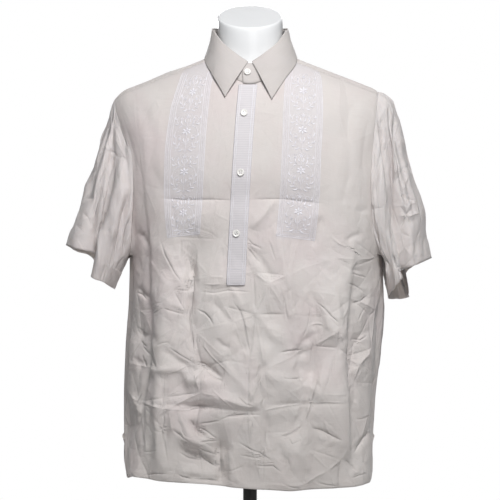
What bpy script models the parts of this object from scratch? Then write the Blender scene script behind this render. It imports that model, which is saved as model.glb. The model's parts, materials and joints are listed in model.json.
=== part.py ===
"""Barong tagalog shirt, short sleeved and pulled on over the head, on a limbless dress form with a pole and a round base.

Metres, +Z up. The front faces -Y and +X is to the right as seen from the front. The origin is the centre of the base's underside.
Every cloth piece is a wall of constant thickness between an outer grid of points and the same grid moved in along its normals.
"""
import math

import bmesh
import bpy
import numpy as np
from mathutils import Vector
from mathutils.bvhtree import BVHTree

for old in list(bpy.data.objects):
    bpy.data.objects.remove(old, do_unlink=True)

# ------------------------------------------------------------------ driving dimensions
CLOTH = 0.0012            # wall of the body, yoke, sleeves and placket
COLLAR_CLOTH = 0.0016     # interlined wall of the collar
SEAM_GAP = 0.0004         # between pieces that are sewn together
BEND_WEIGHT = 0.02        # grids close up where the cloth bends, by this much for each radian
LAY_GAP = 0.0006          # between a piece and what it lies on

RIDGE_X = 0.075           # half-distance between the highest points of the shoulder ridges
RIDGE_Z = 1.0055          # their height
SHOULDER_SLOPE = 0.39     # fall of the ridge for each metre outwards
TIP_X = 0.220             # where the ridge starts to round over
TIP_DROP = 0.011          # extra fall 25 mm further out
SEAM_DROP_NECK = 0.0105   # the forward shoulder seam below the ridge, at the neck and at the tip
SEAM_DROP_TIP = 0.0085
YOKE_SEAM_Z = 0.900       # the yoke's seam across the back
YOKE_SEAM_RISE = 0.012    # how much higher that seam is at the centre

NECK_X, NECK_Y = 0.071, -0.006          # plan of the neckline: half width and centre
NECK_FRONT, NECK_BACK = 0.082, 0.077    # its reach forwards and backwards of that centre

YOKE_NECK = (
    # beyond the neck, lead: how much of the way from the ridge to the forward seam the yoke reaches there
    (0.0012, 1.00),
    (0.0009, 0.72),
    (0.0006, 0.45),
    (0.0003, 0.18),
)

UNDERARM_Z = 0.644
SHOULDER_TIP_Z = {"left": 0.928, "right": 0.9415}   # top of each armhole
HEM_FRONT_Z, HEM_BACK_Z = 0.2365, 0.2300
HEM_SWAY = (
    # x, rise: how much higher or lower the front's hem hangs there
    (-0.220, 0.0085),
    (-0.140, 0.0085),
    (-0.085, 0.0080),
    (-0.045, 0.0045),
    (0.000, 0.0015),
    (0.065, -0.0020),
    (0.120, -0.0035),
    (0.180, -0.0040),
    (0.220, -0.0030),
)
HEM_CORNER = 0.042        # radius of the rounded corners at the side vents
VENT_TOP_Z = 0.345
VENT_SET_BACK = 0.012     # how far the front's edge stands back from the side in the vent

STAND_HEIGHT_GAP = 0.0020
PLACKET_WIDTH = 0.0333
PLACKET_TOP_Z, PLACKET_END_Z = 0.9465, 0.5935
BUTTON_R, BUTTON_T = 0.0063, 0.0023

# level of the body, with the reach of the cloth to the left, right, front and back, and how square the section is
BODY = (
    # name,        z,     left,  right, front, back,  square
    ("hem",        0.225, 0.2235, 0.2185, 0.1130, 0.1080, 2.70),
    ("low hip",    0.300, 0.2290, 0.2230, 0.1170, 0.1110, 2.70),
    ("hip",        0.385, 0.2290, 0.2275, 0.1210, 0.1130, 2.65),
    ("belly",      0.480, 0.2260, 0.2380, 0.1260, 0.1130, 2.60),
    ("waist",      0.565, 0.2200, 0.2430, 0.1290, 0.1120, 2.60),
    ("underarm",   0.644, 0.2185, 0.2400, 0.1310, 0.1150, 2.60),
    ("chest",      0.746, 0.2240, 0.2380, 0.1320, 0.1190, 2.55),
    ("upper arm",  0.820, 0.2310, 0.2400, 0.1310, 0.1200, 2.50),
    ("shoulder",   0.900, 0.2520, 0.2540, 0.1300, 0.1200, 2.45),
    ("ridge",      0.960, 0.2700, 0.2700, 0.1300, 0.1200, 2.40),
    ("neck",       1.030, 0.2700, 0.2700, 0.1300, 0.1200, 2.40),
)
DOME = {  # where the chest or back starts to round over to the shoulder ridge, and how full that dome is
    "front": {"start": 0.750, "full": 2.0},
    "back": {"start": 0.800, "full": 3.5},
}
# edge of the armhole, by share of its height: how far out it lies on the left and on the right
ARMHOLE = (
    # share, left,   right
    (0.00, 0.2185, 0.2400),
    (0.02, 0.2160, 0.2330),
    (0.07, 0.2130, 0.2250),
    (0.18, 0.2100, 0.2175),
    (0.43, 0.2068, 0.2139),
    (0.62, 0.2100, 0.2172),
    (0.80, 0.2290, 0.2232),
    (0.92, 0.2410, 0.2275),
    (1.00, 0.2455, 0.2300),
)
# large folds of the body cloth: a stroke from one point to another, seen from the front or the back
FRONT_FOLDS = (
    # name,                x0,     z0,    x1,     z1,    width, height
    ("left side fold",    -0.188, 0.860, -0.172, 0.640, 0.022, -0.0072),
    ("left side drop",    -0.176, 0.640, -0.183, 0.250, 0.020, -0.0080),
    ("left fold edge",    -0.160, 0.600, -0.160, 0.260, 0.020, 0.0065),
    ("right side drop",    0.186, 0.600,  0.184, 0.270, 0.022, -0.0072),
    ("right fold edge",    0.160, 0.590,  0.158, 0.300, 0.022, 0.0065),
    ("chest sweep",       -0.140, 0.748,  0.130, 0.742, 0.026, -0.0048),
    ("left belly drag",   -0.100, 0.680, -0.085, 0.440, 0.028, -0.0087),
    ("right belly drag",   0.095, 0.690,  0.110, 0.450, 0.030, -0.0065),
    ("right low fold",     0.110, 0.490,  0.070, 0.330, 0.026, -0.0080),
    ("left low fold",     -0.130, 0.440, -0.050, 0.300, 0.024, -0.0072),
    ("hem fold left",     -0.052, 0.330, -0.050, 0.236, 0.014, -0.0058),
    ("hem fold right",     0.075, 0.330,  0.080, 0.236, 0.026, 0.0072),
    ("left shoulder drag", -0.150, 0.900, -0.120, 0.780, 0.024, -0.0043),
    ("right shoulder drag", 0.160, 0.890,  0.130, 0.770, 0.024, -0.0051),
)
BACK_FOLDS = (
    # name,                x0,     z0,    x1,     z1,    width, height
    ("left blade drop",   -0.120, 0.860, -0.105, 0.420, 0.030, -0.0101),
    ("right blade drop",   0.115, 0.850,  0.130, 0.380, 0.028, -0.0094),
    ("centre pleat roll",  0.010, 0.870,  0.000, 0.300, 0.035, 0.0072),
    ("left side drop",    -0.178, 0.700, -0.182, 0.250, 0.022, -0.0087),
    ("right side drop",    0.182, 0.690,  0.178, 0.260, 0.022, -0.0087),
    ("waist sweep",       -0.140, 0.520,  0.080, 0.470, 0.026, -0.0058),
    ("hem fold left",     -0.060, 0.420, -0.070, 0.230, 0.026, 0.0080),
    ("hem fold right",     0.065, 0.400,  0.070, 0.230, 0.028, 0.0072),
)

# hem of each sleeve, as points round it from the outer end over the front and back again behind; turn is the share of the way round
SLEEVE_HEM = {
    "sleeve_left": (
        # name,          turn,  x,       y,      z
        ("outer",        0.00, -0.3310, -0.004, 0.6630),
        ("outer front",  0.13, -0.3110, -0.054, 0.6580),
        ("flap end",     0.24, -0.2740, -0.050, 0.6470),
        ("valley",       0.275, -0.2700, -0.034, 0.6330),
        ("lap edge",     0.315, -0.2800, -0.062, 0.6120),
        ("inner front",  0.41, -0.2620, -0.058, 0.5980),
        ("inner",        0.50, -0.2470, -0.004, 0.5850),
        ("inner back",   0.61, -0.2600,  0.056, 0.5895),
        ("back",         0.70, -0.2830,  0.072, 0.6080),
        ("back rise",    0.77, -0.2895,  0.068, 0.6400),
        ("outer back",   0.89, -0.3180,  0.046, 0.6520),
    ),
    "sleeve_right": (
        # name,          turn,  x,       y,      z
        ("outer",        0.00, 0.3290, -0.004, 0.6405),
        ("outer front",  0.13, 0.3040, -0.056, 0.6310),
        ("flap end",     0.25, 0.2690, -0.052, 0.6180),
        ("lap edge",     0.30, 0.2720, -0.066, 0.6080),
        ("inner front",  0.40, 0.2570, -0.054, 0.5880),
        ("inner",        0.50, 0.2500, -0.002, 0.5680),
        ("inner back",   0.60, 0.2680,  0.052, 0.5640),
        ("back corner",  0.70, 0.2970,  0.066, 0.5700),
        ("back valley",  0.76, 0.2860,  0.044, 0.6000),
        ("back rise",    0.81, 0.2990,  0.068, 0.6220),
        ("outer back",   0.91, 0.3220,  0.044, 0.6340),
    ),
}
# where lines down the sleeve start: the share of the way round the armhole for each share of the way round the hem
SLEEVE_LINES = {
    "sleeve_left": ((0.00, 0.00), (0.13, 0.065), (0.24, 0.13), (0.315, 0.20), (0.41, 0.36), (0.50, 0.50), (0.61, 0.63), (0.75, 0.78), (1.0, 1.0)),
    "sleeve_right": ((0.00, 0.00), (0.13, 0.05), (0.25, 0.11), (0.30, 0.17), (0.40, 0.35), (0.50, 0.50), (0.60, 0.62), (0.75, 0.80), (1.0, 1.0)),
}
SLEEVE_SWELL = {  # how far the middle of the sleeve stands out beyond straight lines from armhole to hem
    # outwards in the middle, outwards at the cap, forwards, backwards
    "sleeve_left": {"out": 0.002, "cap": 0.000, "front": 0.010, "back": 0.012},
    "sleeve_right": {"out": 0.008, "cap": 0.0205, "front": 0.010, "back": 0.012},
}
# pipe folds down the sleeves; turn is the share of the way round at the start and at the end, down the share of the way to the hem
SLEEVE_FOLDS = {
    "sleeve_left": (
        # name,          turn0, turn1, down0, down1, width, height
        ("outer valley",  0.10, 0.07, 0.10, 0.75, 0.014, -0.0060),
        ("outer ridge",   0.17, 0.17, 0.05, 1.00, 0.016, 0.0040),
        ("main valley",   0.23, 0.28, 0.20, 1.00, 0.014, -0.0110),
        ("lap ridge",     0.30, 0.34, 0.15, 1.00, 0.014, 0.0070),
        ("inner valley",  0.36, 0.41, 0.10, 0.95, 0.013, -0.0070),
        ("back valley",   0.66, 0.70, 0.15, 1.00, 0.018, -0.0080),
        ("back ridge",    0.78, 0.78, 0.05, 1.00, 0.020, 0.0050),
        ("blade valley",  0.88, 0.86, 0.10, 0.90, 0.016, -0.0060),
    ),
    "sleeve_right": (
        # name,          turn0, turn1, down0, down1, width, height
        ("outer valley",  0.12, 0.12, 0.25, 0.80, 0.014, -0.0045),
        ("outer ridge",   0.18, 0.18, 0.05, 1.00, 0.016, 0.0040),
        ("main valley",   0.26, 0.29, 0.00, 1.00, 0.014, -0.0110),
        ("lap ridge",     0.32, 0.34, 0.10, 1.00, 0.014, 0.0060),
        ("inner valley",  0.38, 0.42, 0.25, 0.90, 0.013, -0.0050),
        ("back valley",   0.67, 0.69, 0.10, 1.00, 0.018, -0.0080),
        ("back ridge",    0.79, 0.77, 0.05, 1.00, 0.020, 0.0050),
        ("blade valley",  0.88, 0.87, 0.15, 0.90, 0.016, -0.0060),
    ),
}

# fold of the collar, and the top of the stand under it: turn is degrees from the centre back, y and z where it passes
COLLAR_FOLD = (
    # turn,  x,      y,       z
    (0.0,   0.0000, 0.0740, 1.0640),
    (45.0,  0.0500, 0.0500, 1.0630),
    (90.0,  0.0690, -0.0030, 1.0570),
    (135.0, 0.0500, -0.0550, 1.0270),
    (165.0, 0.0210, -0.0745, 1.0010),
    (180.0, 0.0030, -0.0775, 0.9885),
)
# outer edge of the collar leaf, from the centre back to its point: drop is how far the cloth under it has fallen from the ridge,
# below zero behind it, lift how far the edge stands off that cloth, and roll how far the leaf swells out between its fold and its edge
LEAF_EDGE = (
    # share, x_left, x_right, drop_left, drop_right, lift, roll
    (0.00, 0.0000, 0.0000, -0.0200, -0.0200, 0.0040, 0.0040),
    (0.20, 0.0460, 0.0460, -0.0150, -0.0150, 0.0040, 0.0030),
    (0.36, 0.0745, 0.0745, -0.0045, -0.0045, 0.0040, 0.0005),
    (0.50, 0.0825, 0.0845, 0.0008, 0.0008, 0.0040, -0.0012),
    (0.66, 0.0805, 0.0820, 0.0150, 0.0150, 0.0040, 0.0005),
    (0.84, 0.0630, 0.0620, 0.0520, 0.0540, 0.0045, 0.0030),
    (1.00, 0.0440, 0.0380, 0.0925, 0.0980, 0.0060, 0.0035),
)

PLACKET_LINE = (
    # z,     x
    (0.9600, -0.0022),
    (0.8895, -0.0084),
    (0.7860, -0.0150),
    (0.5900, -0.0250),
)
BUTTONS = (
    # name,      x,       z,      on
    ("button_1", -0.0046, 0.9694, "collar_stand"),
    ("button_2", -0.0105, 0.8948, "placket"),
    ("button_3", -0.0164, 0.7898, "placket"),
    ("button_4", -0.0240, 0.6839, "placket"),
)

# the dress form, from its underside to the root of the neck
FORM = (
    # name,       z,     side,   front,  back,   square
    ("underside", 0.3060, 0.150, 0.088, 0.084, 2.3),
    ("hip",       0.3400, 0.166, 0.098, 0.094, 2.3),
    ("seat",      0.4200, 0.170, 0.100, 0.098, 2.3),
    ("waist",     0.5600, 0.155, 0.092, 0.088, 2.3),
    ("ribs",      0.6700, 0.172, 0.104, 0.096, 2.3),
    ("chest",     0.7600, 0.190, 0.120, 0.108, 2.3),
    ("armpit",    0.8300, 0.204, 0.114, 0.108, 2.2),
    ("shoulder",  0.9000, 0.217, 0.094, 0.098, 2.0),
    ("tip",       0.9350, 0.2150, 0.077, 0.088, 1.8),
    ("cap",       0.9500, 0.2040, 0.070, 0.082, 1.7),
    ("slope",     0.9600, 0.1800, 0.066, 0.079, 1.7),
    ("slope",     0.9700, 0.1550, 0.062, 0.076, 1.7),
    ("slope",     0.9800, 0.1290, 0.058, 0.072, 1.7),
    ("slope",     0.9900, 0.0985, 0.056, 0.067, 1.75),
    ("root",      1.0000, 0.0710, 0.0550, 0.0600, 1.9),
    ("root",      1.0080, 0.0630, 0.0555, 0.0590, 1.95),
    ("neck",      1.0200, 0.0600, 0.0570, 0.0588, 2.0),
)
FORM_NECK_R = 0.0590
FORM_NECK_TOP_Z = 1.0795      # centre of the slanted top
FORM_NECK_SLANT = 26.0        # degrees, higher behind
FORM_NECK_ROUND = 0.0030      # radius of the rim
FORM_UNDER_ROUND = 0.016
POLE_R, POLE_TOP_Z, POLE_FOOT_Z = 0.0125, 0.2990, 0.0125
FLANGE_R, FLANGE_T = 0.042, 0.0060
BASE_R, BASE_T = 0.165, 0.0120
BOSS_R, BOSS_T = 0.024, 0.0300


# ------------------------------------------------------------------ curves
def smooth(xs, ys, at):
    """A curve through the table's values that doesn't overshoot between them."""
    xs, ys, at = np.asarray(xs, float), np.asarray(ys, float), np.asarray(at, float)
    step = np.diff(xs)
    slope = np.diff(ys) / step
    tangent = np.zeros_like(ys)
    inner = slope[:-1] * slope[1:] > 0
    w1, w2 = 2 * step[1:] + step[:-1], step[1:] + 2 * step[:-1]
    with np.errstate(divide="ignore", invalid="ignore"):
        tangent[1:-1] = np.where(inner, (w1 + w2) / (w1 / slope[:-1] + w2 / slope[1:]), 0.0)
    tangent[0], tangent[-1] = slope[0], slope[-1]
    k = np.clip(np.searchsorted(xs, at) - 1, 0, len(xs) - 2)
    t = np.clip((at - xs[k]) / step[k], 0, 1)
    a, b, c, d = 2 * t**3 - 3 * t**2 + 1, t**3 - 2 * t**2 + t, -2 * t**3 + 3 * t**2, t**3 - t**2
    return a * ys[k] + b * step[k] * tangent[k] + c * ys[k + 1] + d * step[k] * tangent[k + 1]


def ring_curve(xs, ys, at):
    """The same round a closed ring, where xs are shares of a turn."""
    xs, ys = np.asarray(xs, float), np.asarray(ys, float)
    xs3 = np.concatenate([xs - 1, xs, xs + 1])
    ys3 = np.concatenate([ys, ys, ys])
    k = np.clip(np.searchsorted(xs3, at, side="right") - 1, 1, len(xs3) - 3)
    tangent = (ys3[2:] - ys3[:-2]) / (xs3[2:] - xs3[:-2])
    step = xs3[k + 1] - xs3[k]
    t = (at - xs3[k]) / step
    a, b, c, d = 2 * t**3 - 3 * t**2 + 1, t**3 - 2 * t**2 + t, -2 * t**3 + 3 * t**2, t**3 - t**2
    return a * ys3[k] + b * step * tangent[k - 1] + c * ys3[k + 1] + d * step * tangent[k]


def body_at(name, z):
    column = {"left": 2, "right": 3, "front": 4, "back": 5, "square": 6}[name]
    return smooth([row[1] for row in BODY], [row[column] for row in BODY], z)


def reach(x, z):
    """Half width of the body on the side of x."""
    return np.where(np.asarray(x) < 0, body_at("left", z), body_at("right", z))


def ridge(x):
    """Height of the shoulder ridge above x."""
    x = np.abs(x)
    slope = RIDGE_Z - SHOULDER_SLOPE * (x - RIDGE_X) - TIP_DROP * np.clip((x - TIP_X) / 0.025, 0, 3) ** 2
    root = RIDGE_Z + SHOULDER_SLOPE * RIDGE_X / 2 * (1 - (x / RIDGE_X) ** 2)
    return np.where(x < RIDGE_X, root, slope)


def depth(side, x, z):
    """How far the cloth stands forwards or backwards of the side seams' plane."""
    dome = DOME[side]
    n = body_at("square", z)
    across = np.clip(1 - (np.abs(x) / reach(x, z)) ** n, 0, 1) ** (1 / n)
    rise = np.clip((z - dome["start"]) / (ridge(x) - dome["start"]), 0, 1)
    over = (1 - rise ** dome["full"]) ** (1 / dome["full"])
    return body_at(side, z) * across * over


def on_body(side, x, z):
    sign = -1.0 if side == "front" else 1.0
    x, z = np.broadcast_arrays(np.asarray(x, float), np.asarray(z, float))
    return np.stack([x, sign * depth(side, x, z), z], -1)


def body_normal(side, p):
    """The way out of the body's cloth at points on it, from how its section and dome grow."""
    sign, dome = (-1.0 if side == "front" else 1.0), DOME[side]
    x, y, z = p[..., 0], np.abs(p[..., 1]), p[..., 2]

    def level(x, z):
        n = body_at("square", z)
        across = np.clip(1 - (np.abs(x) / reach(x, z)) ** n, 1e-6, 1) ** (1 / n)
        rise = np.clip((z - dome["start"]) / (ridge(x) - dome["start"]), 0, 2)
        return (y / (body_at(side, z) * across)) ** dome["full"] + rise ** dome["full"]

    e, m = 1e-4, dome["full"]
    n = body_at("square", z)
    far = body_at(side, z) * np.clip(1 - (np.abs(x) / reach(x, z)) ** n, 1e-6, 1) ** (1 / n)
    grow = np.stack([level(x + e, z) - level(x - e, z), sign * 2 * e * m * (y / far) ** (m - 1) / far, level(x, z + e) - level(x, z - e)], -1)
    return grow / np.maximum(np.linalg.norm(grow, axis=-1, keepdims=True), 1e-12)


def off_body(side, x, z, lift):
    """A point that stands lift off the body's cloth."""
    p = on_body(side, x, z)
    return p + body_normal(side, p) * np.asarray(lift)[..., None]


def armhole_x(side, z):
    """How far out the armhole's edge lies at height z on the left or right."""
    share = np.clip((z - UNDERARM_Z) / (SHOULDER_TIP_Z[side] - UNDERARM_Z), 0, 1)
    return smooth([row[0] for row in ARMHOLE], [row[1 if side == "left" else 2] for row in ARMHOLE], share)


def neckline_z(side, x):
    """Height of the neckline on the front or back above x."""
    sign = -1.0 if side == "front" else 1.0
    far = NECK_FRONT if side == "front" else NECK_BACK
    y = np.abs(NECK_Y + sign * far * np.sqrt(np.clip(1 - (x / NECK_X) ** 2, 0, 1)))
    dome = DOME[side]
    z = np.full_like(np.asarray(x, float), 0.99)
    for _ in range(12):
        n = body_at("square", z)
        across = np.clip(1 - (np.abs(x) / reach(x, z)) ** n, 0, 1) ** (1 / n)
        over = np.clip(y / (body_at(side, z) * across), 0, 1)
        z = dome["start"] + (ridge(x) - dome["start"]) * (1 - over ** dome["full"]) ** (1 / dome["full"])
    return z


def seam_z(x):
    """Height of the forward shoulder seam above x."""
    share = np.clip((np.abs(x) - RIDGE_X) / (0.245 - RIDGE_X), 0, 1)
    return ridge(x) - (SEAM_DROP_NECK + (SEAM_DROP_TIP - SEAM_DROP_NECK) * share)


NECK_SEAM_X = NECK_X * math.sqrt(1 - ((0.034 + NECK_Y) / NECK_FRONT) ** 2)


# ------------------------------------------------------------------ grids
def bend_run(curve, weight):
    """Distance run along a curve, with weight metres added for each radian that it turns."""
    d = np.diff(curve, axis=0)
    length = np.linalg.norm(d, axis=1)
    way = d / np.maximum(length, 1e-9)[:, None]
    turned_by = np.arccos(np.clip((way[1:] * way[:-1]).sum(1), -1, 1))
    return np.concatenate([[0], np.cumsum(length + weight * np.concatenate([[0], turned_by]))])


def normals(grid, closed=False):
    """Unit normals of a grid of points, rows x columns x 3, pointing the way that rows cross columns do."""
    along = np.empty_like(grid)
    if closed:
        along = np.roll(grid, -1, 1) - np.roll(grid, 1, 1)
    else:
        along[:, 1:-1] = grid[:, 2:] - grid[:, :-2]
        along[:, 0], along[:, -1] = grid[:, 1] - grid[:, 0], grid[:, -1] - grid[:, -2]
    up = np.empty_like(grid)
    up[1:-1] = grid[2:] - grid[:-2]
    up[0], up[-1] = grid[1] - grid[0], grid[-1] - grid[-2]
    n = np.cross(along, up)
    return n / np.maximum(np.linalg.norm(n, axis=-1, keepdims=True), 1e-12)


def stroke(points, row, flat=(0, 2)):
    """Height of one fold at each point: a soft ridge or trough along a line, fading at its ends."""
    name, x0, z0, x1, z1, width, height = row
    p = points[..., list(flat)]
    a, b = np.array([x0, z0]), np.array([x1, z1])
    d = b - a
    length = np.linalg.norm(d)
    t = ((p - a) @ d) / length**2
    off = np.abs((p - a) @ np.array([-d[1], d[0]])) / length
    ends = np.clip(np.minimum(t, 1 - t) * length / 0.05 + 0.55, 0, 1)
    return height * np.exp(-((off / width) ** 2)) * (ends * ends * (3 - 2 * ends))


def steps(count, ease):
    """Shares from -1 to 1, closer together towards the ends as ease grows."""
    u = np.linspace(-1, 1, count)
    return (1 - ease) * u + ease * np.sin(u * math.pi / 2)


def panel(side, columns, rows, top, hem, folds):
    """Front or back panel: columns run from the hem up to the top edge, and rows across from side to side."""
    u = steps(columns, 0.35)
    v = np.linspace(0, 1, rows)
    fine = np.linspace(0, math.pi / 2, 400)
    n = 2.6
    cx, cy = 0.228 * np.sin(fine) ** (2 / n), 0.122 * np.cos(fine) ** (2 / n)
    run = np.concatenate([[0], np.cumsum(np.hypot(np.diff(cx), np.diff(cy)))])
    angle = np.interp(np.abs(u) * run[-1], run, fine)

    def x_at(k, z):
        which = "left" if u[k] < 0 else "right"
        a, n = body_at(which, z), body_at("square", z)
        edge = np.where(z > UNDERARM_Z, np.minimum(armhole_x(which, z), a * 0.99999), a)
        vent = np.clip((VENT_TOP_Z - z) / 0.03, 0, 1)
        widest = np.arcsin(np.clip((edge / a) ** (n / 2), 0, 1))
        if side == "front":
            widest = widest - VENT_SET_BACK / 0.24 * vent * vent * (3 - 2 * vent)
        x = a * np.sin(angle[k] / (math.pi / 2) * widest) ** (2 / n)
        return math.copysign(1.0, u[k]) * x if abs(u[k]) > 1e-9 else 0.0 * x

    grid = np.zeros((rows, columns, 3))
    for k in range(columns):
        low, high = 0.24, 0.93
        for _ in range(25):
            low = float(hem(k, x_at(k, np.float64(low)), u))
            high = float(top(x_at(k, np.float64(high))))
        z = np.linspace(low, high, 240)
        x = x_at(k, z)
        curve = on_body(side, x, z)
        run = bend_run(curve, BEND_WEIGHT)
        z = np.interp(v * run[-1], run, z)
        grid[:, k] = on_body(side, x_at(k, z), z)
    sign = -1.0 if side == "front" else 1.0
    out = normals(grid)
    out *= np.where((out[..., 1] * sign).sum() < 0, -1.0, 1.0)
    rise = sum(stroke(grid, row) for row in folds)
    edge = np.minimum(np.abs(grid[..., 2] - grid[-1:, :, 2]) / 0.04, 1)
    rim = np.minimum(np.minimum(np.arange(columns), np.arange(columns)[::-1]) / 2.0, 1)
    upper = grid[..., 2] > VENT_TOP_Z
    hold = edge * np.where(upper, rim[None, :], 1.0)
    return grid + out * (rise * hold)[..., None]


def thicken(grid, wall, outward, closed=False):
    """Outer and inner grids of a wall, where outward gives the sign of the grid's own normals."""
    return grid, grid - normals(grid, closed) * wall * outward


def add(name, verts, faces, colour, rough, metal=0.0, smooth_shaded=True):
    mesh = bpy.data.meshes.new(name)
    mesh.from_pydata([tuple(map(float, p)) for p in verts], [], [tuple(f) for f in faces])
    obj = bpy.data.objects.new(name, mesh)
    bpy.context.scene.collection.objects.link(obj)
    bm = bmesh.new()
    bm.from_mesh(mesh)
    bmesh.ops.recalc_face_normals(bm, faces=bm.faces)
    bm.to_mesh(mesh)
    bm.free()
    mesh.polygons.foreach_set("use_smooth", [smooth_shaded] * len(mesh.polygons))
    material = bpy.data.materials.new(name)
    material.use_nodes = True
    shader = material.node_tree.nodes["Principled BSDF"]
    shader.inputs["Base Color"].default_value = (*colour, 1.0)
    shader.inputs["Roughness"].default_value = rough
    shader.inputs["Metallic"].default_value = metal
    mesh.materials.append(material)
    return obj


def wall(name, outer, inner, colour, rough, closed=False):
    """One closed solid between two grids of the same size."""
    rows, columns, _ = outer.shape
    verts = np.concatenate([outer.reshape(-1, 3), inner.reshape(-1, 3)])
    count = rows * columns
    faces = []
    last = columns if closed else columns - 1
    for r in range(rows - 1):
        for c in range(last):
            c2 = (c + 1) % columns
            a, b, d, e = r * columns + c, r * columns + c2, (r + 1) * columns + c2, (r + 1) * columns + c
            faces += [(a, b, d), (a, d, e), (count + d, count + b, count + a), (count + e, count + d, count + a)]
    for r in (0, rows - 1):
        for c in range(last):
            c2 = (c + 1) % columns
            a, b = r * columns + c, r * columns + c2
            faces.append((a, count + a, count + b, b) if r == 0 else (a, b, count + b, count + a))
    if not closed:
        for c in (0, columns - 1):
            for r in range(rows - 1):
                a, b = r * columns + c, (r + 1) * columns + c
                faces.append((a, b, count + b, count + a) if c == 0 else (a, count + a, count + b, b))
    return add(name, verts, faces, colour, rough)


def rings(name, sections, colour, rough, metal=0.0):
    """One closed solid through rings of points, with both ends capped."""
    rows, columns, _ = sections.shape
    verts = sections.reshape(-1, 3)
    faces = []
    for r in range(rows - 1):
        for c in range(columns):
            c2 = (c + 1) % columns
            faces.append((r * columns + c, r * columns + c2, (r + 1) * columns + c2, (r + 1) * columns + c))
    faces.append(tuple(range(columns))[::-1])
    faces.append(tuple(range((rows - 1) * columns, rows * columns)))
    return add(name, verts, faces, colour, rough, metal)


def turned(name, profile, columns, colour, rough, metal=0.0, place=None):
    """A lathe-turned solid: profile is (radius, height) from the axis round to the axis."""
    turn = np.linspace(0, 2 * math.pi, columns, endpoint=False)
    pts = np.array([[[r * math.cos(t), r * math.sin(t), h] for t in turn] for r, h in profile])
    if place is not None:
        centre, normal = place
        w = np.asarray(normal, float) / np.linalg.norm(normal)
        up = np.array([0.0, 0.0, 1.0]) - w * w[2]
        up /= np.linalg.norm(up)
        across = np.cross(up, w)
        pts = centre + pts[..., :1] * across + pts[..., 1:2] * up + pts[..., 2:3] * w
    return rings(name, pts, colour, rough, metal)


# ------------------------------------------------------------------ body panels
CLOTH_COLOUR = (0.72, 0.67, 0.63)


def hem_height(k, x, u, base):
    """The hem, which rises round a corner at each side vent."""
    from_side = (1 - abs(u[k])) * 0.275
    corner = HEM_CORNER - math.sqrt(max(HEM_CORNER**2 - max(HEM_CORNER - from_side, 0) ** 2, 0))
    return base + 0.006 * min(abs(x) / 0.2, 1) ** 2 + corner


def front_hem(k, x, u):
    return hem_height(k, x, u, HEM_FRONT_Z) + float(smooth([row[0] for row in HEM_SWAY], [row[1] for row in HEM_SWAY], x))


def front_top(x):
    ax = abs(float(x))
    z = float(neckline_z("front", np.float64(x))) if ax < NECK_SEAM_X else float(seam_z(np.float64(x)))
    return z - SEAM_GAP / 2


def back_seam(x):
    return YOKE_SEAM_Z + YOKE_SEAM_RISE * (1 - np.minimum(np.abs(x) / 0.22, 1) ** 2)


front = panel("front", 25, 28, front_top, front_hem, FRONT_FOLDS)
back = panel("back", 21, 20, lambda x: back_seam(float(x)) - SEAM_GAP / 2, lambda k, x, u: hem_height(k, x, u, HEM_BACK_Z), BACK_FOLDS)


def part_at_sides(grid, side):
    """Moves the points of a panel's side edges off the seam's plane, to leave the seam's gap."""
    sign = -1.0 if side == "front" else 1.0
    moved = grid.copy()
    moved[..., 1] = sign * np.maximum(sign * moved[..., 1], SEAM_GAP / 2 + 0.0001)
    return moved


front, back = part_at_sides(front, "front"), part_at_sides(back, "back")
panel_front = wall("shirt_front", *thicken(front, CLOTH, 1.0), CLOTH_COLOUR, 0.85)
wall("shirt_back", *thicken(back, CLOTH, -1.0), CLOTH_COLOUR, 0.85)


# ------------------------------------------------------------------ yoke
def yoke(columns, rows):
    """Over the shoulders, from the forward seams, and across the back down to its seam."""
    inner = NECK_X * np.sin(np.linspace(-math.pi / 2, math.pi / 2, 2 * columns + 1))[1:-1]
    near = NECK_X + np.array([step[0] for step in YOKE_NECK])
    outer = front[-1, :, 0]
    left, right = outer[outer < -NECK_X - 0.008], outer[outer > NECK_X + 0.008]
    u = np.concatenate([left / -left[0], -near / -left[0], inner / right[-1], near[::-1] / right[-1], right / right[-1]])
    lead = np.array([step[1] for step in YOKE_NECK])
    lead = np.concatenate([np.ones(len(left)), lead, np.zeros(len(inner)), lead[::-1], np.ones(len(right))])
    grid, ways = np.zeros((rows, len(u), 3)), np.zeros((rows, len(u), 3))
    for k in range(len(u)):
        def x_at(z, k=k):
            which = "left" if u[k] < 0 else "right"
            return u[k] * armhole_x(which, np.asarray(z, float))

        front_part = lead[k] > 0
        seam, ahead_seam, top_z = YOKE_SEAM_Z, 0.93, 0.93
        for _ in range(8):
            seam = float(back_seam(x_at(seam))) + SEAM_GAP / 2
            ahead_seam = float(seam_z(x_at(ahead_seam))) + SEAM_GAP / 2
            top_z = float(ridge(x_at(top_z)) if front_part else neckline_z("back", x_at(top_z)))
        q = np.linspace(0, 1, 120)
        zb = top_z - (top_z - seam) * (q**2.5 if front_part else q)
        curve = on_body("back", x_at(zb), zb)
        out = body_normal("back", curve)
        if front_part:
            q = np.linspace(lead[k], 0, 60)
            zf = top_z - (top_z - ahead_seam) * q**2
            ahead = on_body("front", x_at(zf), zf)
            curve, out = np.concatenate([ahead[:-1], curve]), np.concatenate([body_normal("front", ahead[:-1]), out])
        run = bend_run(curve, 2 * BEND_WEIGHT)
        at = np.linspace(0, run[-1], rows)
        grid[:, k] = np.stack([np.interp(at, run, curve[:, i]) for i in range(3)], -1)
        ways[:, k] = np.stack([np.interp(at, run, out[:, i]) for i in range(3)], -1)
    ways /= np.linalg.norm(ways, axis=-1, keepdims=True)
    return grid, grid - ways * CLOTH


wall("yoke", *yoke(5, 8), CLOTH_COLOUR, 0.85)


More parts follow.
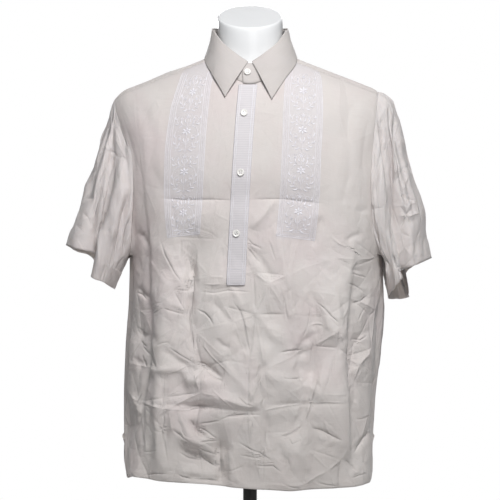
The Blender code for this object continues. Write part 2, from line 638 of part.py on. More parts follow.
# ------------------------------------------------------------------ sleeves
def sleeve(name, columns, rows):
    which = name.split("_")[1]
    sign = -1.0 if which == "left" else 1.0
    hem_share, seam_share = zip(*SLEEVE_LINES[name])
    fine = np.linspace(0, 1, 2001)
    turn = np.interp(np.linspace(0, 1, columns, endpoint=False), (fine + smooth(hem_share, seam_share, fine)) / 2, fine)
    around_seam = smooth(hem_share, seam_share, turn)
    middle, half = (SHOULDER_TIP_Z[which] + UNDERARM_Z) / 2, (SHOULDER_TIP_Z[which] - UNDERARM_Z) / 2
    z = middle + half * np.cos(around_seam * 2 * math.pi)
    x = sign * np.minimum(armhole_x(which, z), body_at(which, z) * 0.99999)
    ahead = around_seam < 0.5
    y = np.where(ahead, -depth("front", x, z), depth("back", x, z))
    start = np.stack([x, y, z], -1)
    rows_hem = SLEEVE_HEM[name]
    where = [row[1] for row in rows_hem]
    end = np.stack([ring_curve(where, [row[i] for row in rows_hem], turn) for i in (2, 3, 4)], -1)
    down = np.linspace(0, 1, rows)[:, None, None] ** 1.25
    grid = start + (end - start) * down
    swell = SLEEVE_SWELL[name]
    belly = 4 * down[..., 0] * (1 - down[..., 0])
    outward = np.clip(np.cos(turn * 2 * math.pi), 0, 1)
    forward = np.clip(np.sin(turn * 2 * math.pi), -1, 1)
    cap = np.sqrt(np.clip(down[..., 0] / 0.06, 0, 1)) * (1 - down[..., 0])
    grid[..., 0] += sign * (swell["out"] * belly + swell["cap"] * cap) * outward
    grid[..., 1] -= belly * np.where(forward > 0, swell["front"] * forward, swell["back"] * forward)
    out = normals(grid, True)
    centre = grid.mean(1, keepdims=True)
    out *= np.where(((grid - centre) * out).sum() < 0, -1.0, 1.0)
    around = np.linalg.norm(np.diff(np.concatenate([grid, grid[:, :1]], 1), axis=1), axis=-1).sum(1)[:, None]
    rise = np.zeros(grid.shape[:2])
    for _, turn0, turn1, down0, down1, width, height in SLEEVE_FOLDS[name]:
        share = np.clip((down[..., 0] - down0) / (down1 - down0), 0, 1)
        at = turn0 + (turn1 - turn0) * share
        off = (np.abs((turn - at + 0.5) % 1 - 0.5)) * around
        fade = np.clip((down[..., 0] - down0) / 0.2 + 0.3, 0, 1) * np.clip((down1 - down[..., 0]) / 0.2 + (1.0 if down1 >= 1 else 0.3), 0, 1)
        rise += height * np.exp(-((off / width) ** 2)) * fade
    rise *= np.clip(down[..., 0] / 0.12, 0, 1)
    grid = grid + out * rise[..., None]
    clear = SEAM_GAP + CLOTH * np.abs(out[:1, :, 0]) + 0.0004
    grid[..., 0] += sign * clear
    return grid


for side_name in ("sleeve_left", "sleeve_right"):
    grid = sleeve(side_name, 38, 9)
    mean = grid.mean(1, keepdims=True)
    outward = 1.0 if ((grid - mean) * normals(grid, True)).sum() > 0 else -1.0
    wall(side_name, *thicken(grid, CLOTH, outward, True), CLOTH_COLOUR, 0.85, closed=True)


# ------------------------------------------------------------------ collar
def collar_fold(turn):
    """The collar's fold at turn degrees from the centre back, below zero on the left."""
    a = np.abs(turn)
    cols = list(zip(*COLLAR_FOLD))
    x, y, z = (smooth(cols[0], cols[i], a) for i in (1, 2, 3))
    return np.stack([np.sign(turn) * x, y, z], -1)


def neck_seam(turn):
    """The neckline at turn degrees from the centre back."""
    t = np.radians(turn)
    x = NECK_X * np.sin(t)
    ahead = np.abs(turn) > 90
    z = np.where(ahead, neckline_z("front", x), neckline_z("back", x))
    y = NECK_Y + np.where(ahead, NECK_FRONT, NECK_BACK) * np.cos(t)
    return np.stack([x, y, z], -1)


def collar_stand(columns, rows):
    """A band round the neck whose right end laps over the left one."""
    turn = np.linspace(-178.0, 190.0, columns)
    wrapped = np.where(turn > 180, turn - 360, turn)
    low, high = neck_seam(wrapped), collar_fold(wrapped)
    lap = np.clip((turn - 160) / 16, 0, 1)[:, None]
    ways = (low + high) / 2 - np.array([0, NECK_Y, 0])
    ways[:, 2] = 0
    ways /= np.linalg.norm(ways, axis=1, keepdims=True)
    low = low + ways * 0.0022 * lap + np.array([0, 0, STAND_HEIGHT_GAP + 0.0004])
    high = high - ways * (0.0036 - 0.0022 * lap) - np.array([0, 0, 0.0030])
    v = np.linspace(0, 1, rows)[:, None, None]
    grid = low + (high - low) * v
    bulge = 4 * v[..., 0] * (1 - v[..., 0]) * 0.0012
    return grid + ways[None] * bulge[..., None]


def collar_leaf(columns, rows):
    share = steps(columns, 0.30)
    cols = list(zip(*LEAF_EDGE))
    a = np.abs(share)
    left = share < 0
    x = np.where(left, -smooth(cols[0], cols[1], a), smooth(cols[0], cols[2], a))
    drop = np.where(left, smooth(cols[0], cols[3], a), smooth(cols[0], cols[4], a))
    lift = smooth(cols[0], cols[5], a)
    z = ridge(x) - np.abs(drop)
    edge = np.where((drop > 0)[:, None], off_body("front", x, z, lift), off_body("back", x, z, lift))
    fold = collar_fold(np.sign(share) * 180.0 * np.clip(a, 0, 1) ** 0.95)
    v = np.linspace(0, 1, rows)[:, None, None]
    grid = fold + (edge - fold) * v
    ways = (fold + edge) / 2 - np.array([0, NECK_Y, 0])
    ways[:, 2] = 0
    ways /= np.linalg.norm(ways, axis=1, keepdims=True)
    roll = smooth(cols[0], cols[6], a) * np.abs(np.sin(v[..., 0] * math.pi)) ** 0.8
    grid = grid + ways[None] * roll[..., None]
    return grid


stand = collar_stand(33, 3)
mid = np.array([0, NECK_Y, 1.0])
flip = 1.0 if ((stand - mid) * normals(stand)).sum() > 0 else -1.0
stand_solid = wall("collar_stand", *thicken(stand, COLLAR_CLOTH, flip), CLOTH_COLOUR, 0.85)
leaf = collar_leaf(33, 6)
flip = 1.0 if ((leaf - mid) * normals(leaf)).sum() > 0 else -1.0
wall("collar_leaf", *thicken(leaf, COLLAR_CLOTH, flip), CLOTH_COLOUR, 0.85)


# ------------------------------------------------------------------ placket and buttons
def cast(target, x, z):
    """The point of a solid's outer face that lies straight behind (x, z) as seen from the front, with its normal."""
    tree = BVHTree.FromPolygons([v.co[:] for v in target.data.vertices], [p.vertices[:] for p in target.data.polygons])
    hits = [tree.ray_cast(Vector((float(a), -1.0, float(b))), Vector((0, 1, 0)))[:2] for a, b in zip(np.ravel(x), np.ravel(z))]
    shape = np.shape(x) + (3,)
    return np.array([h[0] for h in hits]).reshape(shape), np.array([h[1] for h in hits]).reshape(shape)


def placket(columns):
    """A strip whose rows follow the rows of the panel under it, moved out."""
    under = front[:, front.shape[1] // 2, 2]
    levels = under[(under > PLACKET_END_Z + 0.006) & (under < PLACKET_TOP_Z - 0.006)]
    z = np.concatenate([[PLACKET_END_Z], levels, [PLACKET_TOP_Z]])[:, None]
    line = smooth([row[0] for row in PLACKET_LINE][::-1], [row[1] for row in PLACKET_LINE][::-1], z)
    x = line + np.linspace(-0.5, 0.5, columns)[None, :] * PLACKET_WIDTH
    p, n = cast(panel_front, x, z + 0 * x)
    n = np.where(n[..., 1:2] > 0, -n, n).mean(1)
    n = np.concatenate([n[:1], n, n[-1:]])
    n = n[:-2] + n[1:-1] + n[2:]
    n = (n / np.linalg.norm(n, axis=-1, keepdims=True))[:, None]
    return p + n * (LAY_GAP + CLOTH), p + n * LAY_GAP


strip_solid = wall("placket", *placket(4), (0.78, 0.75, 0.74), 0.8)

BUTTON_PROFILE = (
    # radius, height
    (0.0010, 0.0000), (BUTTON_R * 0.80, 0.0000), (BUTTON_R, 0.0007), (BUTTON_R, 0.0016), (BUTTON_R * 0.92, BUTTON_T),
    (BUTTON_R * 0.72, BUTTON_T), (BUTTON_R * 0.62, BUTTON_T - 0.0005), (0.0010, BUTTON_T - 0.0005),
)


for name, bx, bz, on in BUTTONS:
    around = [(-0.5, -0.5), (0.5, -0.5), (-0.5, 0.5), (0.5, 0.5), (0.0, 0.0)]
    p, n = cast(strip_solid if on == "placket" else stand_solid, [bx + a * BUTTON_R for a, _ in around], [bz + b * BUTTON_R for _, b in around])
    n = np.where(n[:, 1:2] > 0, -n, n).mean(0)
    n /= np.linalg.norm(n)
    high = max(float((q - p[-1]) @ n) for q in p)
    turned(name, BUTTON_PROFILE, 16, (0.86, 0.84, 0.80), 0.3, place=(p[-1] + n * (high + 0.0006), n))


# ------------------------------------------------------------------ dress form
def form_rings(columns):
    turn = np.linspace(0, 2 * math.pi, columns, endpoint=False)
    s, c = np.sin(turn), np.cos(turn)
    levels = [row[1] for row in FORM]
    z_all = np.unique(np.concatenate([np.linspace(levels[0] + FORM_UNDER_ROUND, 0.88, 15), np.linspace(0.88, levels[-1], 11)]))
    out = []

    def ring(z, shrink=0.0, at=None):
        side, ahead, behind, n = (smooth(levels, [row[i] for row in FORM], z) for i in (2, 3, 4, 5))
        x = (side - shrink) * np.sign(c) * np.abs(c) ** (2 / n)
        y = np.where(s < 0, ahead - shrink, behind - shrink) * np.sign(s) * np.abs(s) ** (2 / n)
        return np.stack([x, y, np.full_like(x, z if at is None else at)], -1)

    r = FORM_UNDER_ROUND
    for t in (0, 22.5, 45, 67.5):
        out.append(ring(levels[0] + r, shrink=r * (1 - math.sin(math.radians(t))), at=levels[0] + r * (1 - math.cos(math.radians(t)))))
    for z in z_all:
        out.append(ring(z))
    tilt = math.tan(math.radians(FORM_NECK_SLANT))
    base = levels[-1]
    ahead, behind = FORM[-1][3], FORM[-1][4]
    for k, share in enumerate((0.25, 0.5, 0.75)):
        y0 = out[-1][:, 1] * 0
        r_side = FORM[-1][2] + (FORM_NECK_R - FORM[-1][2]) * share
        r_front = ahead + (FORM_NECK_R - ahead) * share
        x, y = r_side * c, np.where(s < 0, r_front, behind + (FORM_NECK_R - behind) * share) * s
        top_z = FORM_NECK_TOP_Z + y * tilt - FORM_NECK_ROUND
        out.append(np.stack([x, y + y0, base + (top_z - base) * share], -1))
    for t in (0, 30, 60, 90):
        rr = FORM_NECK_R - FORM_NECK_ROUND * (1 - math.cos(math.radians(t)))
        x, y = rr * c, rr * s
        top_z = FORM_NECK_TOP_Z + y * tilt - FORM_NECK_ROUND * (1 - math.sin(math.radians(t)))
        out.append(np.stack([x, y, top_z], -1))
    return np.array(out)


rings("form_torso", form_rings(36), (0.86, 0.86, 0.86), 0.12)
rings("form_flange", np.array([
    [[r * math.cos(t), r * math.sin(t), z] for t in np.linspace(0, 2 * math.pi, 40, endpoint=False)]
    for r, z in ((FLANGE_R - 0.001, FORM[0][1] - SEAM_GAP - FLANGE_T), (FLANGE_R, FORM[0][1] - SEAM_GAP - FLANGE_T + 0.001),
                 (FLANGE_R, FORM[0][1] - SEAM_GAP - 0.0005), (FLANGE_R - 0.0005, FORM[0][1] - SEAM_GAP))]), (0.04, 0.04, 0.04), 0.35, 0.8)
POLE_TOP = FORM[0][1] - SEAM_GAP - FLANGE_T - SEAM_GAP
turned("form_pole", ((POLE_R - 0.0008, POLE_FOOT_Z), (POLE_R, POLE_FOOT_Z + 0.0008), (POLE_R, POLE_TOP - 0.0008), (POLE_R - 0.0008, POLE_TOP)),
       32, (0.03, 0.03, 0.03), 0.3, 0.8)
turned("form_base", ((BASE_R - 0.0015, 0.0), (BASE_R, 0.0015), (BASE_R, BASE_T - 0.004), (BASE_R - 0.0012, BASE_T - 0.0012), (BASE_R - 0.004, BASE_T)),
       72, (0.03, 0.03, 0.03), 0.35, 0.6)


def collar_ring(name, inner, outer, low, high, columns):
    """A plain ring round the pole's foot."""
    turn = np.linspace(0, 2 * math.pi, columns, endpoint=False)
    profile = ((inner, low), (outer, low), (outer, high - 0.003), (outer - 0.0009, high - 0.0009), (outer - 0.003, high), (inner, high))
    verts, faces = [], []
    for r, h in profile:
        verts += [(r * math.cos(t), r * math.sin(t), h) for t in turn]
    p = len(profile)
    for i in range(p):
        for c in range(columns):
            c2, j = (c + 1) % columns, (i + 1) % p
            faces.append((i * columns + c, i * columns + c2, j * columns + c2, j * columns + c))
    return add(name, verts, faces, (0.03, 0.03, 0.03), 0.3, 0.8)


collar_ring("form_collar", POLE_R + SEAM_GAP, BOSS_R, BASE_T + SEAM_GAP, BASE_T + BOSS_T, 36)
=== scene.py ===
"""Looks of the barong tagalog shirt on its dress form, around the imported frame. Metres, +Z up, the front faces -Y."""
import json
import math
import random

import bmesh
import bpy
import numpy as np
from mathutils import Matrix, Vector
from mathutils.bvhtree import BVHTree
from mathutils.geometry import delaunay_2d_cdt

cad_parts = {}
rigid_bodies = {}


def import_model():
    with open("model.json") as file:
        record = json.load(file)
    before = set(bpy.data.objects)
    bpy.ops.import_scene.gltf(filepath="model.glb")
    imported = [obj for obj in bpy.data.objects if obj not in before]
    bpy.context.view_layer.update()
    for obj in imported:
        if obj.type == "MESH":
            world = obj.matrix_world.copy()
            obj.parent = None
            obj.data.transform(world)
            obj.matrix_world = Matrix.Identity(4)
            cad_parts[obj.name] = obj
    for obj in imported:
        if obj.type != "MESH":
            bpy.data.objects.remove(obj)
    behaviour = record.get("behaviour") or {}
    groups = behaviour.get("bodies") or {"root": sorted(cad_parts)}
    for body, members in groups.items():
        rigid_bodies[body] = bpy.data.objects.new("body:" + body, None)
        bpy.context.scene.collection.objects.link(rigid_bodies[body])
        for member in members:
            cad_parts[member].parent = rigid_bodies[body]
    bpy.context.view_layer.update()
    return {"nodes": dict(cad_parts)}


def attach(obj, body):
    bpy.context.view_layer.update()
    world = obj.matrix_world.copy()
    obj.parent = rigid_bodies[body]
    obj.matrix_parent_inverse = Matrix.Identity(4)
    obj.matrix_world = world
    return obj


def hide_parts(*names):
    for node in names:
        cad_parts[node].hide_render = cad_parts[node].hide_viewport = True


for old in list(bpy.data.objects):
    bpy.data.objects.remove(old, do_unlink=True)

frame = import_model()

# ------------------------------------------------------------------ driving dimensions
CLOTH = 0.0012            # wall of the body, yoke, sleeves and placket
COLLAR_CLOTH = 0.0016     # interlined wall of the collar
SEAM_GAP = 0.0001         # between pieces that are sewn together
BEND_WEIGHT = 0.02        # grids close up where the cloth bends, by this much for each radian
LAY_GAP = 0.0006          # between a piece and what it lies on

RIDGE_X = 0.075           # half-distance between the highest points of the shoulder ridges
RIDGE_Z = 1.0055          # their height
SHOULDER_SLOPE = 0.39     # fall of the ridge for each metre outwards
TIP_X = 0.220             # where the ridge starts to round over
TIP_DROP = 0.011          # extra fall 25 mm further out
SEAM_DROP_NECK = 0.0105   # the forward shoulder seam below the ridge, at the neck and at the tip
SEAM_DROP_TIP = 0.0085
YOKE_SEAM_Z = 0.900       # the yoke's seam across the back
YOKE_SEAM_RISE = 0.012    # how much higher that seam is at the centre

NECK_X, NECK_Y = 0.071, -0.006          # plan of the neckline: half width and centre
NECK_FRONT, NECK_BACK = 0.082, 0.077    # its reach forwards and backwards of that centre

YOKE_NECK = (
    # beyond the neck, lead: how much of the way from the ridge to the forward seam the yoke reaches there
    (0.0012, 1.00),
    (0.0009, 0.72),
    (0.0006, 0.45),
    (0.0003, 0.18),
)

UNDERARM_Z = 0.644
SHOULDER_TIP_Z = {"left": 0.928, "right": 0.9415}   # top of each armhole
HEM_FRONT_Z, HEM_BACK_Z = 0.2365, 0.2300
HEM_SWAY = (
    # x, rise: how much higher or lower the front's hem hangs there
    (-0.220, 0.0085),
    (-0.140, 0.0085),
    (-0.085, 0.0080),
    (-0.045, 0.0045),
    (0.000, 0.0015),
    (0.065, -0.0020),
    (0.120, -0.0035),
    (0.180, -0.0040),
    (0.220, -0.0030),
)
HEM_CORNER = 0.042        # radius of the rounded corners at the side vents
VENT_TOP_Z = 0.345
VENT_SET_BACK = 0.012     # how far the front's edge stands back from the side in the vent

STAND_HEIGHT_GAP = 0.0002
PLACKET_WIDTH = 0.0333
PLACKET_TOP_Z, PLACKET_END_Z = 0.9465, 0.5935
BUTTON_R, BUTTON_T = 0.0063, 0.0023

# level of the body, with the reach of the cloth to the left, right, front and back, and how square the section is
BODY = (
    # name,        z,     left,  right, front, back,  square
    ("hem",        0.225, 0.2235, 0.2185, 0.1130, 0.1080, 2.70),
    ("low hip",    0.300, 0.2290, 0.2230, 0.1170, 0.1110, 2.70),
    ("hip",        0.385, 0.2290, 0.2275, 0.1210, 0.1130, 2.65),
    ("belly",      0.480, 0.2260, 0.2380, 0.1260, 0.1130, 2.60),
    ("waist",      0.565, 0.2200, 0.2430, 0.1290, 0.1120, 2.60),
    ("underarm",   0.644, 0.2185, 0.2400, 0.1310, 0.1150, 2.60),
    ("chest",      0.746, 0.2240, 0.2380, 0.1320, 0.1190, 2.55),
    ("upper arm",  0.820, 0.2310, 0.2400, 0.1310, 0.1200, 2.50),
    ("shoulder",   0.900, 0.2520, 0.2540, 0.1300, 0.1200, 2.45),
    ("ridge",      0.960, 0.2700, 0.2700, 0.1300, 0.1200, 2.40),
    ("neck",       1.030, 0.2700, 0.2700, 0.1300, 0.1200, 2.40),
)
DOME = {  # where the chest or back starts to round over to the shoulder ridge, and how full that dome is
    "front": {"start": 0.750, "full": 2.0},
    "back": {"start": 0.800, "full": 3.5},
}
# edge of the armhole, by share of its height: how far out it lies on the left and on the right
ARMHOLE = (
    # share, left,   right
    (0.00, 0.2185, 0.2400),
    (0.02, 0.2160, 0.2330),
    (0.07, 0.2130, 0.2250),
    (0.18, 0.2100, 0.2175),
    (0.43, 0.2068, 0.2139),
    (0.62, 0.2100, 0.2172),
    (0.80, 0.2290, 0.2232),
    (0.92, 0.2410, 0.2275),
    (1.00, 0.2455, 0.2300),
)
# large folds of the body cloth: a stroke from one point to another, seen from the front or the back
FRONT_FOLDS = (
    # name,                x0,     z0,    x1,     z1,    width, height
    ("left side fold",    -0.188, 0.860, -0.172, 0.640, 0.022, -0.0012),
    ("left side drop",    -0.176, 0.640, -0.183, 0.250, 0.020, -0.0080),
    ("left fold edge",    -0.160, 0.600, -0.160, 0.260, 0.020, 0.0065),
    ("right side drop",    0.186, 0.600,  0.184, 0.270, 0.022, -0.0072),
    ("right fold edge",    0.160, 0.590,  0.158, 0.300, 0.022, 0.0065),
    ("chest sweep",       -0.140, 0.748,  0.130, 0.742, 0.026, -0.0048),
    ("left belly drag",   -0.100, 0.680, -0.085, 0.440, 0.028, -0.0087),
    ("right belly drag",   0.095, 0.690,  0.110, 0.450, 0.030, -0.0065),
    ("right low fold",     0.110, 0.490,  0.070, 0.330, 0.026, -0.0080),
    ("left low fold",     -0.130, 0.440, -0.050, 0.300, 0.024, -0.0072),
    ("hem fold left",     -0.052, 0.330, -0.050, 0.236, 0.014, -0.0058),
    ("hem fold right",     0.075, 0.330,  0.080, 0.236, 0.026, 0.0072),
    ("left shoulder drag", -0.150, 0.900, -0.120, 0.780, 0.024, -0.0012),
    ("right shoulder drag", 0.160, 0.890,  0.130, 0.770, 0.024, -0.0030),
)
BACK_FOLDS = (
    # name,                x0,     z0,    x1,     z1,    width, height
    ("left blade drop",   -0.120, 0.860, -0.105, 0.420, 0.030, -0.0101),
    ("right blade drop",   0.115, 0.850,  0.130, 0.380, 0.028, -0.0094),
    ("centre pleat roll",  0.010, 0.870,  0.000, 0.300, 0.035, 0.0072),
    ("left side drop",    -0.178, 0.700, -0.182, 0.250, 0.022, -0.0087),
    ("right side drop",    0.182, 0.690,  0.178, 0.260, 0.022, -0.0087),
    ("waist sweep",       -0.140, 0.520,  0.080, 0.470, 0.026, -0.0058),
    ("hem fold left",     -0.060, 0.420, -0.070, 0.230, 0.026, 0.0080),
    ("hem fold right",     0.065, 0.400,  0.070, 0.230, 0.028, 0.0072),
)

# hem of each sleeve, as points round it from the outer end over the front and back again behind; turn is the share of the way round
SLEEVE_HEM = {
    "sleeve_left": (
        # name,          turn,  x,       y,      z
        ("outer",        0.00, -0.3310, -0.004, 0.6630),
        ("outer front",  0.13, -0.3110, -0.054, 0.6580),
        ("flap end",     0.24, -0.2740, -0.050, 0.6470),
        ("valley",       0.275, -0.2700, -0.034, 0.6330),
        ("lap edge",     0.315, -0.2800, -0.062, 0.6120),
        ("inner front",  0.41, -0.2620, -0.058, 0.5980),
        ("inner",        0.50, -0.2470, -0.004, 0.5850),
        ("inner back",   0.61, -0.2600,  0.056, 0.5895),
        ("back",         0.70, -0.2830,  0.072, 0.6080),
        ("back rise",    0.77, -0.2895,  0.068, 0.6400),
        ("outer back",   0.89, -0.3180,  0.046, 0.6520),
    ),
    "sleeve_right": (
        # name,          turn,  x,       y,      z
        ("outer",        0.00, 0.3290, -0.004, 0.6405),
        ("outer front",  0.13, 0.3040, -0.056, 0.6310),
        ("flap end",     0.25, 0.2690, -0.052, 0.6180),
        ("lap edge",     0.30, 0.2720, -0.066, 0.6080),
        ("inner front",  0.40, 0.2570, -0.054, 0.5880),
        ("inner",        0.50, 0.2500, -0.002, 0.5680),
        ("inner back",   0.60, 0.2680,  0.052, 0.5640),
        ("back corner",  0.70, 0.2970,  0.066, 0.5700),
        ("back valley",  0.76, 0.2860,  0.044, 0.6000),
        ("back rise",    0.81, 0.2990,  0.068, 0.6220),
        ("outer back",   0.91, 0.3220,  0.044, 0.6340),
    ),
}
# where lines down the sleeve start: the share of the way round the armhole for each share of the way round the hem
SLEEVE_LINES = {
    "sleeve_left": ((0.00, 0.00), (0.13, 0.065), (0.24, 0.13), (0.315, 0.20), (0.41, 0.36), (0.50, 0.50), (0.61, 0.63), (0.75, 0.78), (1.0, 1.0)),
    "sleeve_right": ((0.00, 0.00), (0.13, 0.05), (0.25, 0.11), (0.30, 0.17), (0.40, 0.35), (0.50, 0.50), (0.60, 0.62), (0.75, 0.80), (1.0, 1.0)),
}
SLEEVE_SWELL = {  # how far the middle of the sleeve stands out beyond straight lines from armhole to hem
    # outwards in the middle, outwards at the cap, forwards, backwards
    "sleeve_left": {"out": 0.002, "cap": 0.000, "front": 0.010, "back": 0.012},
    "sleeve_right": {"out": 0.008, "cap": 0.0205, "front": 0.010, "back": 0.012},
}
# pipe folds down the sleeves; turn is the share of the way round at the start and at the end, down the share of the way to the hem
SLEEVE_FOLDS = {
    "sleeve_left": (
        # name,          turn0, turn1, down0, down1, width, height
        ("outer valley",  0.10, 0.07, 0.10, 0.75, 0.014, -0.0022),
        ("outer ridge",   0.17, 0.17, 0.05, 1.00, 0.016, 0.0020),
        ("main valley",   0.23, 0.28, 0.20, 1.00, 0.014, -0.0075),
        ("lap ridge",     0.30, 0.34, 0.15, 1.00, 0.014, 0.0045),
        ("inner valley",  0.36, 0.41, 0.10, 0.95, 0.013, -0.0045),
        ("back valley",   0.66, 0.70, 0.15, 1.00, 0.018, -0.0080),
        ("back ridge",    0.78, 0.78, 0.05, 1.00, 0.020, 0.0050),
        ("blade valley",  0.88, 0.86, 0.10, 0.90, 0.016, -0.0060),
    ),
    "sleeve_right": (
        # name,          turn0, turn1, down0, down1, width, height
        ("outer valley",  0.12, 0.12, 0.25, 0.80, 0.014, -0.0045),
        ("outer ridge",   0.18, 0.18, 0.05, 1.00, 0.016, 0.0040),
        ("main valley",   0.26, 0.29, 0.00, 1.00, 0.014, -0.0070),
        ("lap ridge",     0.32, 0.34, 0.10, 1.00, 0.014, 0.0035),
        ("inner valley",  0.38, 0.42, 0.25, 0.90, 0.013, -0.0030),
        ("back valley",   0.67, 0.69, 0.10, 1.00, 0.018, -0.0080),
        ("back ridge",    0.79, 0.77, 0.05, 1.00, 0.020, 0.0050),
        ("blade valley",  0.88, 0.87, 0.15, 0.90, 0.016, -0.0060),
    ),
}

# fold of the collar, and the top of the stand under it: turn is degrees from the centre back, y and z where it passes
COLLAR_FOLD = (
    # turn,  x,      y,       z
    (0.0,   0.0000, 0.0740, 1.0640),
    (45.0,  0.0500, 0.0500, 1.0630),
    (90.0,  0.0690, -0.0030, 1.0570),
    (135.0, 0.0500, -0.0550, 1.0270),
    (165.0, 0.0210, -0.0745, 1.0010),
    (180.0, 0.0030, -0.0775, 0.9885),
)
# outer edge of the collar leaf, from the centre back to its point: drop is how far the cloth under it has fallen from the ridge,
# below zero behind it, lift how far the edge stands off that cloth, and roll how far the leaf swells out between its fold and its edge
LEAF_EDGE = (
    # share, x_left, x_right, drop_left, drop_right, lift, roll
    (0.00, 0.0000, 0.0000, -0.0200, -0.0200, 0.0024, 0.0040),
    (0.20, 0.0460, 0.0460, -0.0150, -0.0150, 0.0024, 0.0030),
    (0.36, 0.0745, 0.0745, -0.0045, -0.0045, 0.0024, 0.0005),
    (0.50, 0.0825, 0.0845, 0.0008, 0.0008, 0.0024, -0.0012),
    (0.66, 0.0805, 0.0820, 0.0150, 0.0150, 0.0024, 0.0005),
    (0.84, 0.0630, 0.0620, 0.0520, 0.0540, 0.0026, 0.0030),
    (1.00, 0.0440, 0.0380, 0.0925, 0.0980, 0.0040, 0.0035),
)

PLACKET_LINE = (
    # z,     x
    (0.9600, -0.0022),
    (0.8895, -0.0084),
    (0.7860, -0.0150),
    (0.5900, -0.0250),
)
BUTTONS = (
    # name,      x,       z,      on
    ("button_1", -0.0046, 0.9694, "collar_stand"),
    ("button_2", -0.0105, 0.8948, "placket"),
    ("button_3", -0.0164, 0.7898, "placket"),
    ("button_4", -0.0240, 0.6839, "placket"),
)

# the dress form, from its underside to the root of the neck
FORM = (
    # name,       z,     side,   front,  back,   square
    ("underside", 0.3060, 0.150, 0.088, 0.084, 2.3),
    ("hip",       0.3400, 0.166, 0.098, 0.094, 2.3),
    ("seat",      0.4200, 0.170, 0.100, 0.098, 2.3),
    ("waist",     0.5600, 0.155, 0.092, 0.088, 2.3),
    ("ribs",      0.6700, 0.172, 0.104, 0.096, 2.3),
    ("chest",     0.7600, 0.190, 0.120, 0.108, 2.3),
    ("armpit",    0.8300, 0.204, 0.114, 0.108, 2.2),
    ("shoulder",  0.9000, 0.217, 0.094, 0.098, 2.0),
    ("tip",       0.9350, 0.2150, 0.077, 0.088, 1.8),
    ("cap",       0.9500, 0.2040, 0.070, 0.082, 1.7),
    ("slope",     0.9600, 0.1800, 0.066, 0.079, 1.7),
    ("slope",     0.9700, 0.1550, 0.062, 0.076, 1.7),
    ("slope",     0.9800, 0.1290, 0.058, 0.072, 1.7),
    ("slope",     0.9900, 0.0985, 0.056, 0.067, 1.75),
    ("root",      1.0000, 0.0710, 0.0550, 0.0600, 1.9),
    ("root",      1.0080, 0.0630, 0.0555, 0.0590, 1.95),
    ("neck",      1.0200, 0.0600, 0.0570, 0.0588, 2.0),
)
FORM_NECK_R = 0.0590
FORM_NECK_TOP_Z = 1.0795      # centre of the slanted top
FORM_NECK_SLANT = 26.0        # degrees, higher behind
FORM_NECK_ROUND = 0.0030      # radius of the rim
FORM_UNDER_ROUND = 0.016
POLE_R, POLE_TOP_Z, POLE_FOOT_Z = 0.0125, 0.2990, 0.0125
FLANGE_R, FLANGE_T = 0.042, 0.0060
BASE_R, BASE_T = 0.165, 0.0120
BOSS_R, BOSS_T = 0.024, 0.0300


# ------------------------------------------------------------------ curves
def smooth(xs, ys, at):
    """A curve through the table's values that doesn't overshoot between them."""
    xs, ys, at = np.asarray(xs, float), np.asarray(ys, float), np.asarray(at, float)
    step = np.diff(xs)
    slope = np.diff(ys) / step
    tangent = np.zeros_like(ys)
    inner = slope[:-1] * slope[1:] > 0
    w1, w2 = 2 * step[1:] + step[:-1], step[1:] + 2 * step[:-1]
    with np.errstate(divide="ignore", invalid="ignore"):
        tangent[1:-1] = np.where(inner, (w1 + w2) / (w1 / slope[:-1] + w2 / slope[1:]), 0.0)
    tangent[0], tangent[-1] = slope[0], slope[-1]
    k = np.clip(np.searchsorted(xs, at) - 1, 0, len(xs) - 2)
    t = np.clip((at - xs[k]) / step[k], 0, 1)
    a, b, c, d = 2 * t**3 - 3 * t**2 + 1, t**3 - 2 * t**2 + t, -2 * t**3 + 3 * t**2, t**3 - t**2
    return a * ys[k] + b * step[k] * tangent[k] + c * ys[k + 1] + d * step[k] * tangent[k + 1]


def ring_curve(xs, ys, at):
    """The same round a closed ring, where xs are shares of a turn."""
    xs, ys = np.asarray(xs, float), np.asarray(ys, float)
    xs3 = np.concatenate([xs - 1, xs, xs + 1])
    ys3 = np.concatenate([ys, ys, ys])
    k = np.clip(np.searchsorted(xs3, at, side="right") - 1, 1, len(xs3) - 3)
    tangent = (ys3[2:] - ys3[:-2]) / (xs3[2:] - xs3[:-2])
    step = xs3[k + 1] - xs3[k]
    t = (at - xs3[k]) / step
    a, b, c, d = 2 * t**3 - 3 * t**2 + 1, t**3 - 2 * t**2 + t, -2 * t**3 + 3 * t**2, t**3 - t**2
    return a * ys3[k] + b * step * tangent[k - 1] + c * ys3[k + 1] + d * step * tangent[k]


def body_at(name, z):
    column = {"left": 2, "right": 3, "front": 4, "back": 5, "square": 6}[name]
    return smooth([row[1] for row in BODY], [row[column] for row in BODY], z)


def reach(x, z):
    """Half width of the body on the side of x."""
    return np.where(np.asarray(x) < 0, body_at("left", z), body_at("right", z))


def ridge(x):
    """Height of the shoulder ridge above x."""
    x = np.abs(x)
    slope = RIDGE_Z - SHOULDER_SLOPE * (x - RIDGE_X) - TIP_DROP * np.clip((x - TIP_X) / 0.025, 0, 3) ** 2
    root = RIDGE_Z + SHOULDER_SLOPE * RIDGE_X / 2 * (1 - (x / RIDGE_X) ** 2)
    return np.where(x < RIDGE_X, root, slope)


def depth(side, x, z):
    """How far the cloth stands forwards or backwards of the side seams' plane."""
    dome = DOME[side]
    n = body_at("square", z)
    across = np.clip(1 - (np.abs(x) / reach(x, z)) ** n, 0, 1) ** (1 / n)
    rise = np.clip((z - dome["start"]) / (ridge(x) - dome["start"]), 0, 1)
    over = (1 - rise ** dome["full"]) ** (1 / dome["full"])
    return body_at(side, z) * across * over


def on_body(side, x, z):
    sign = -1.0 if side == "front" else 1.0
    x, z = np.broadcast_arrays(np.asarray(x, float), np.asarray(z, float))
    return np.stack([x, sign * depth(side, x, z), z], -1)


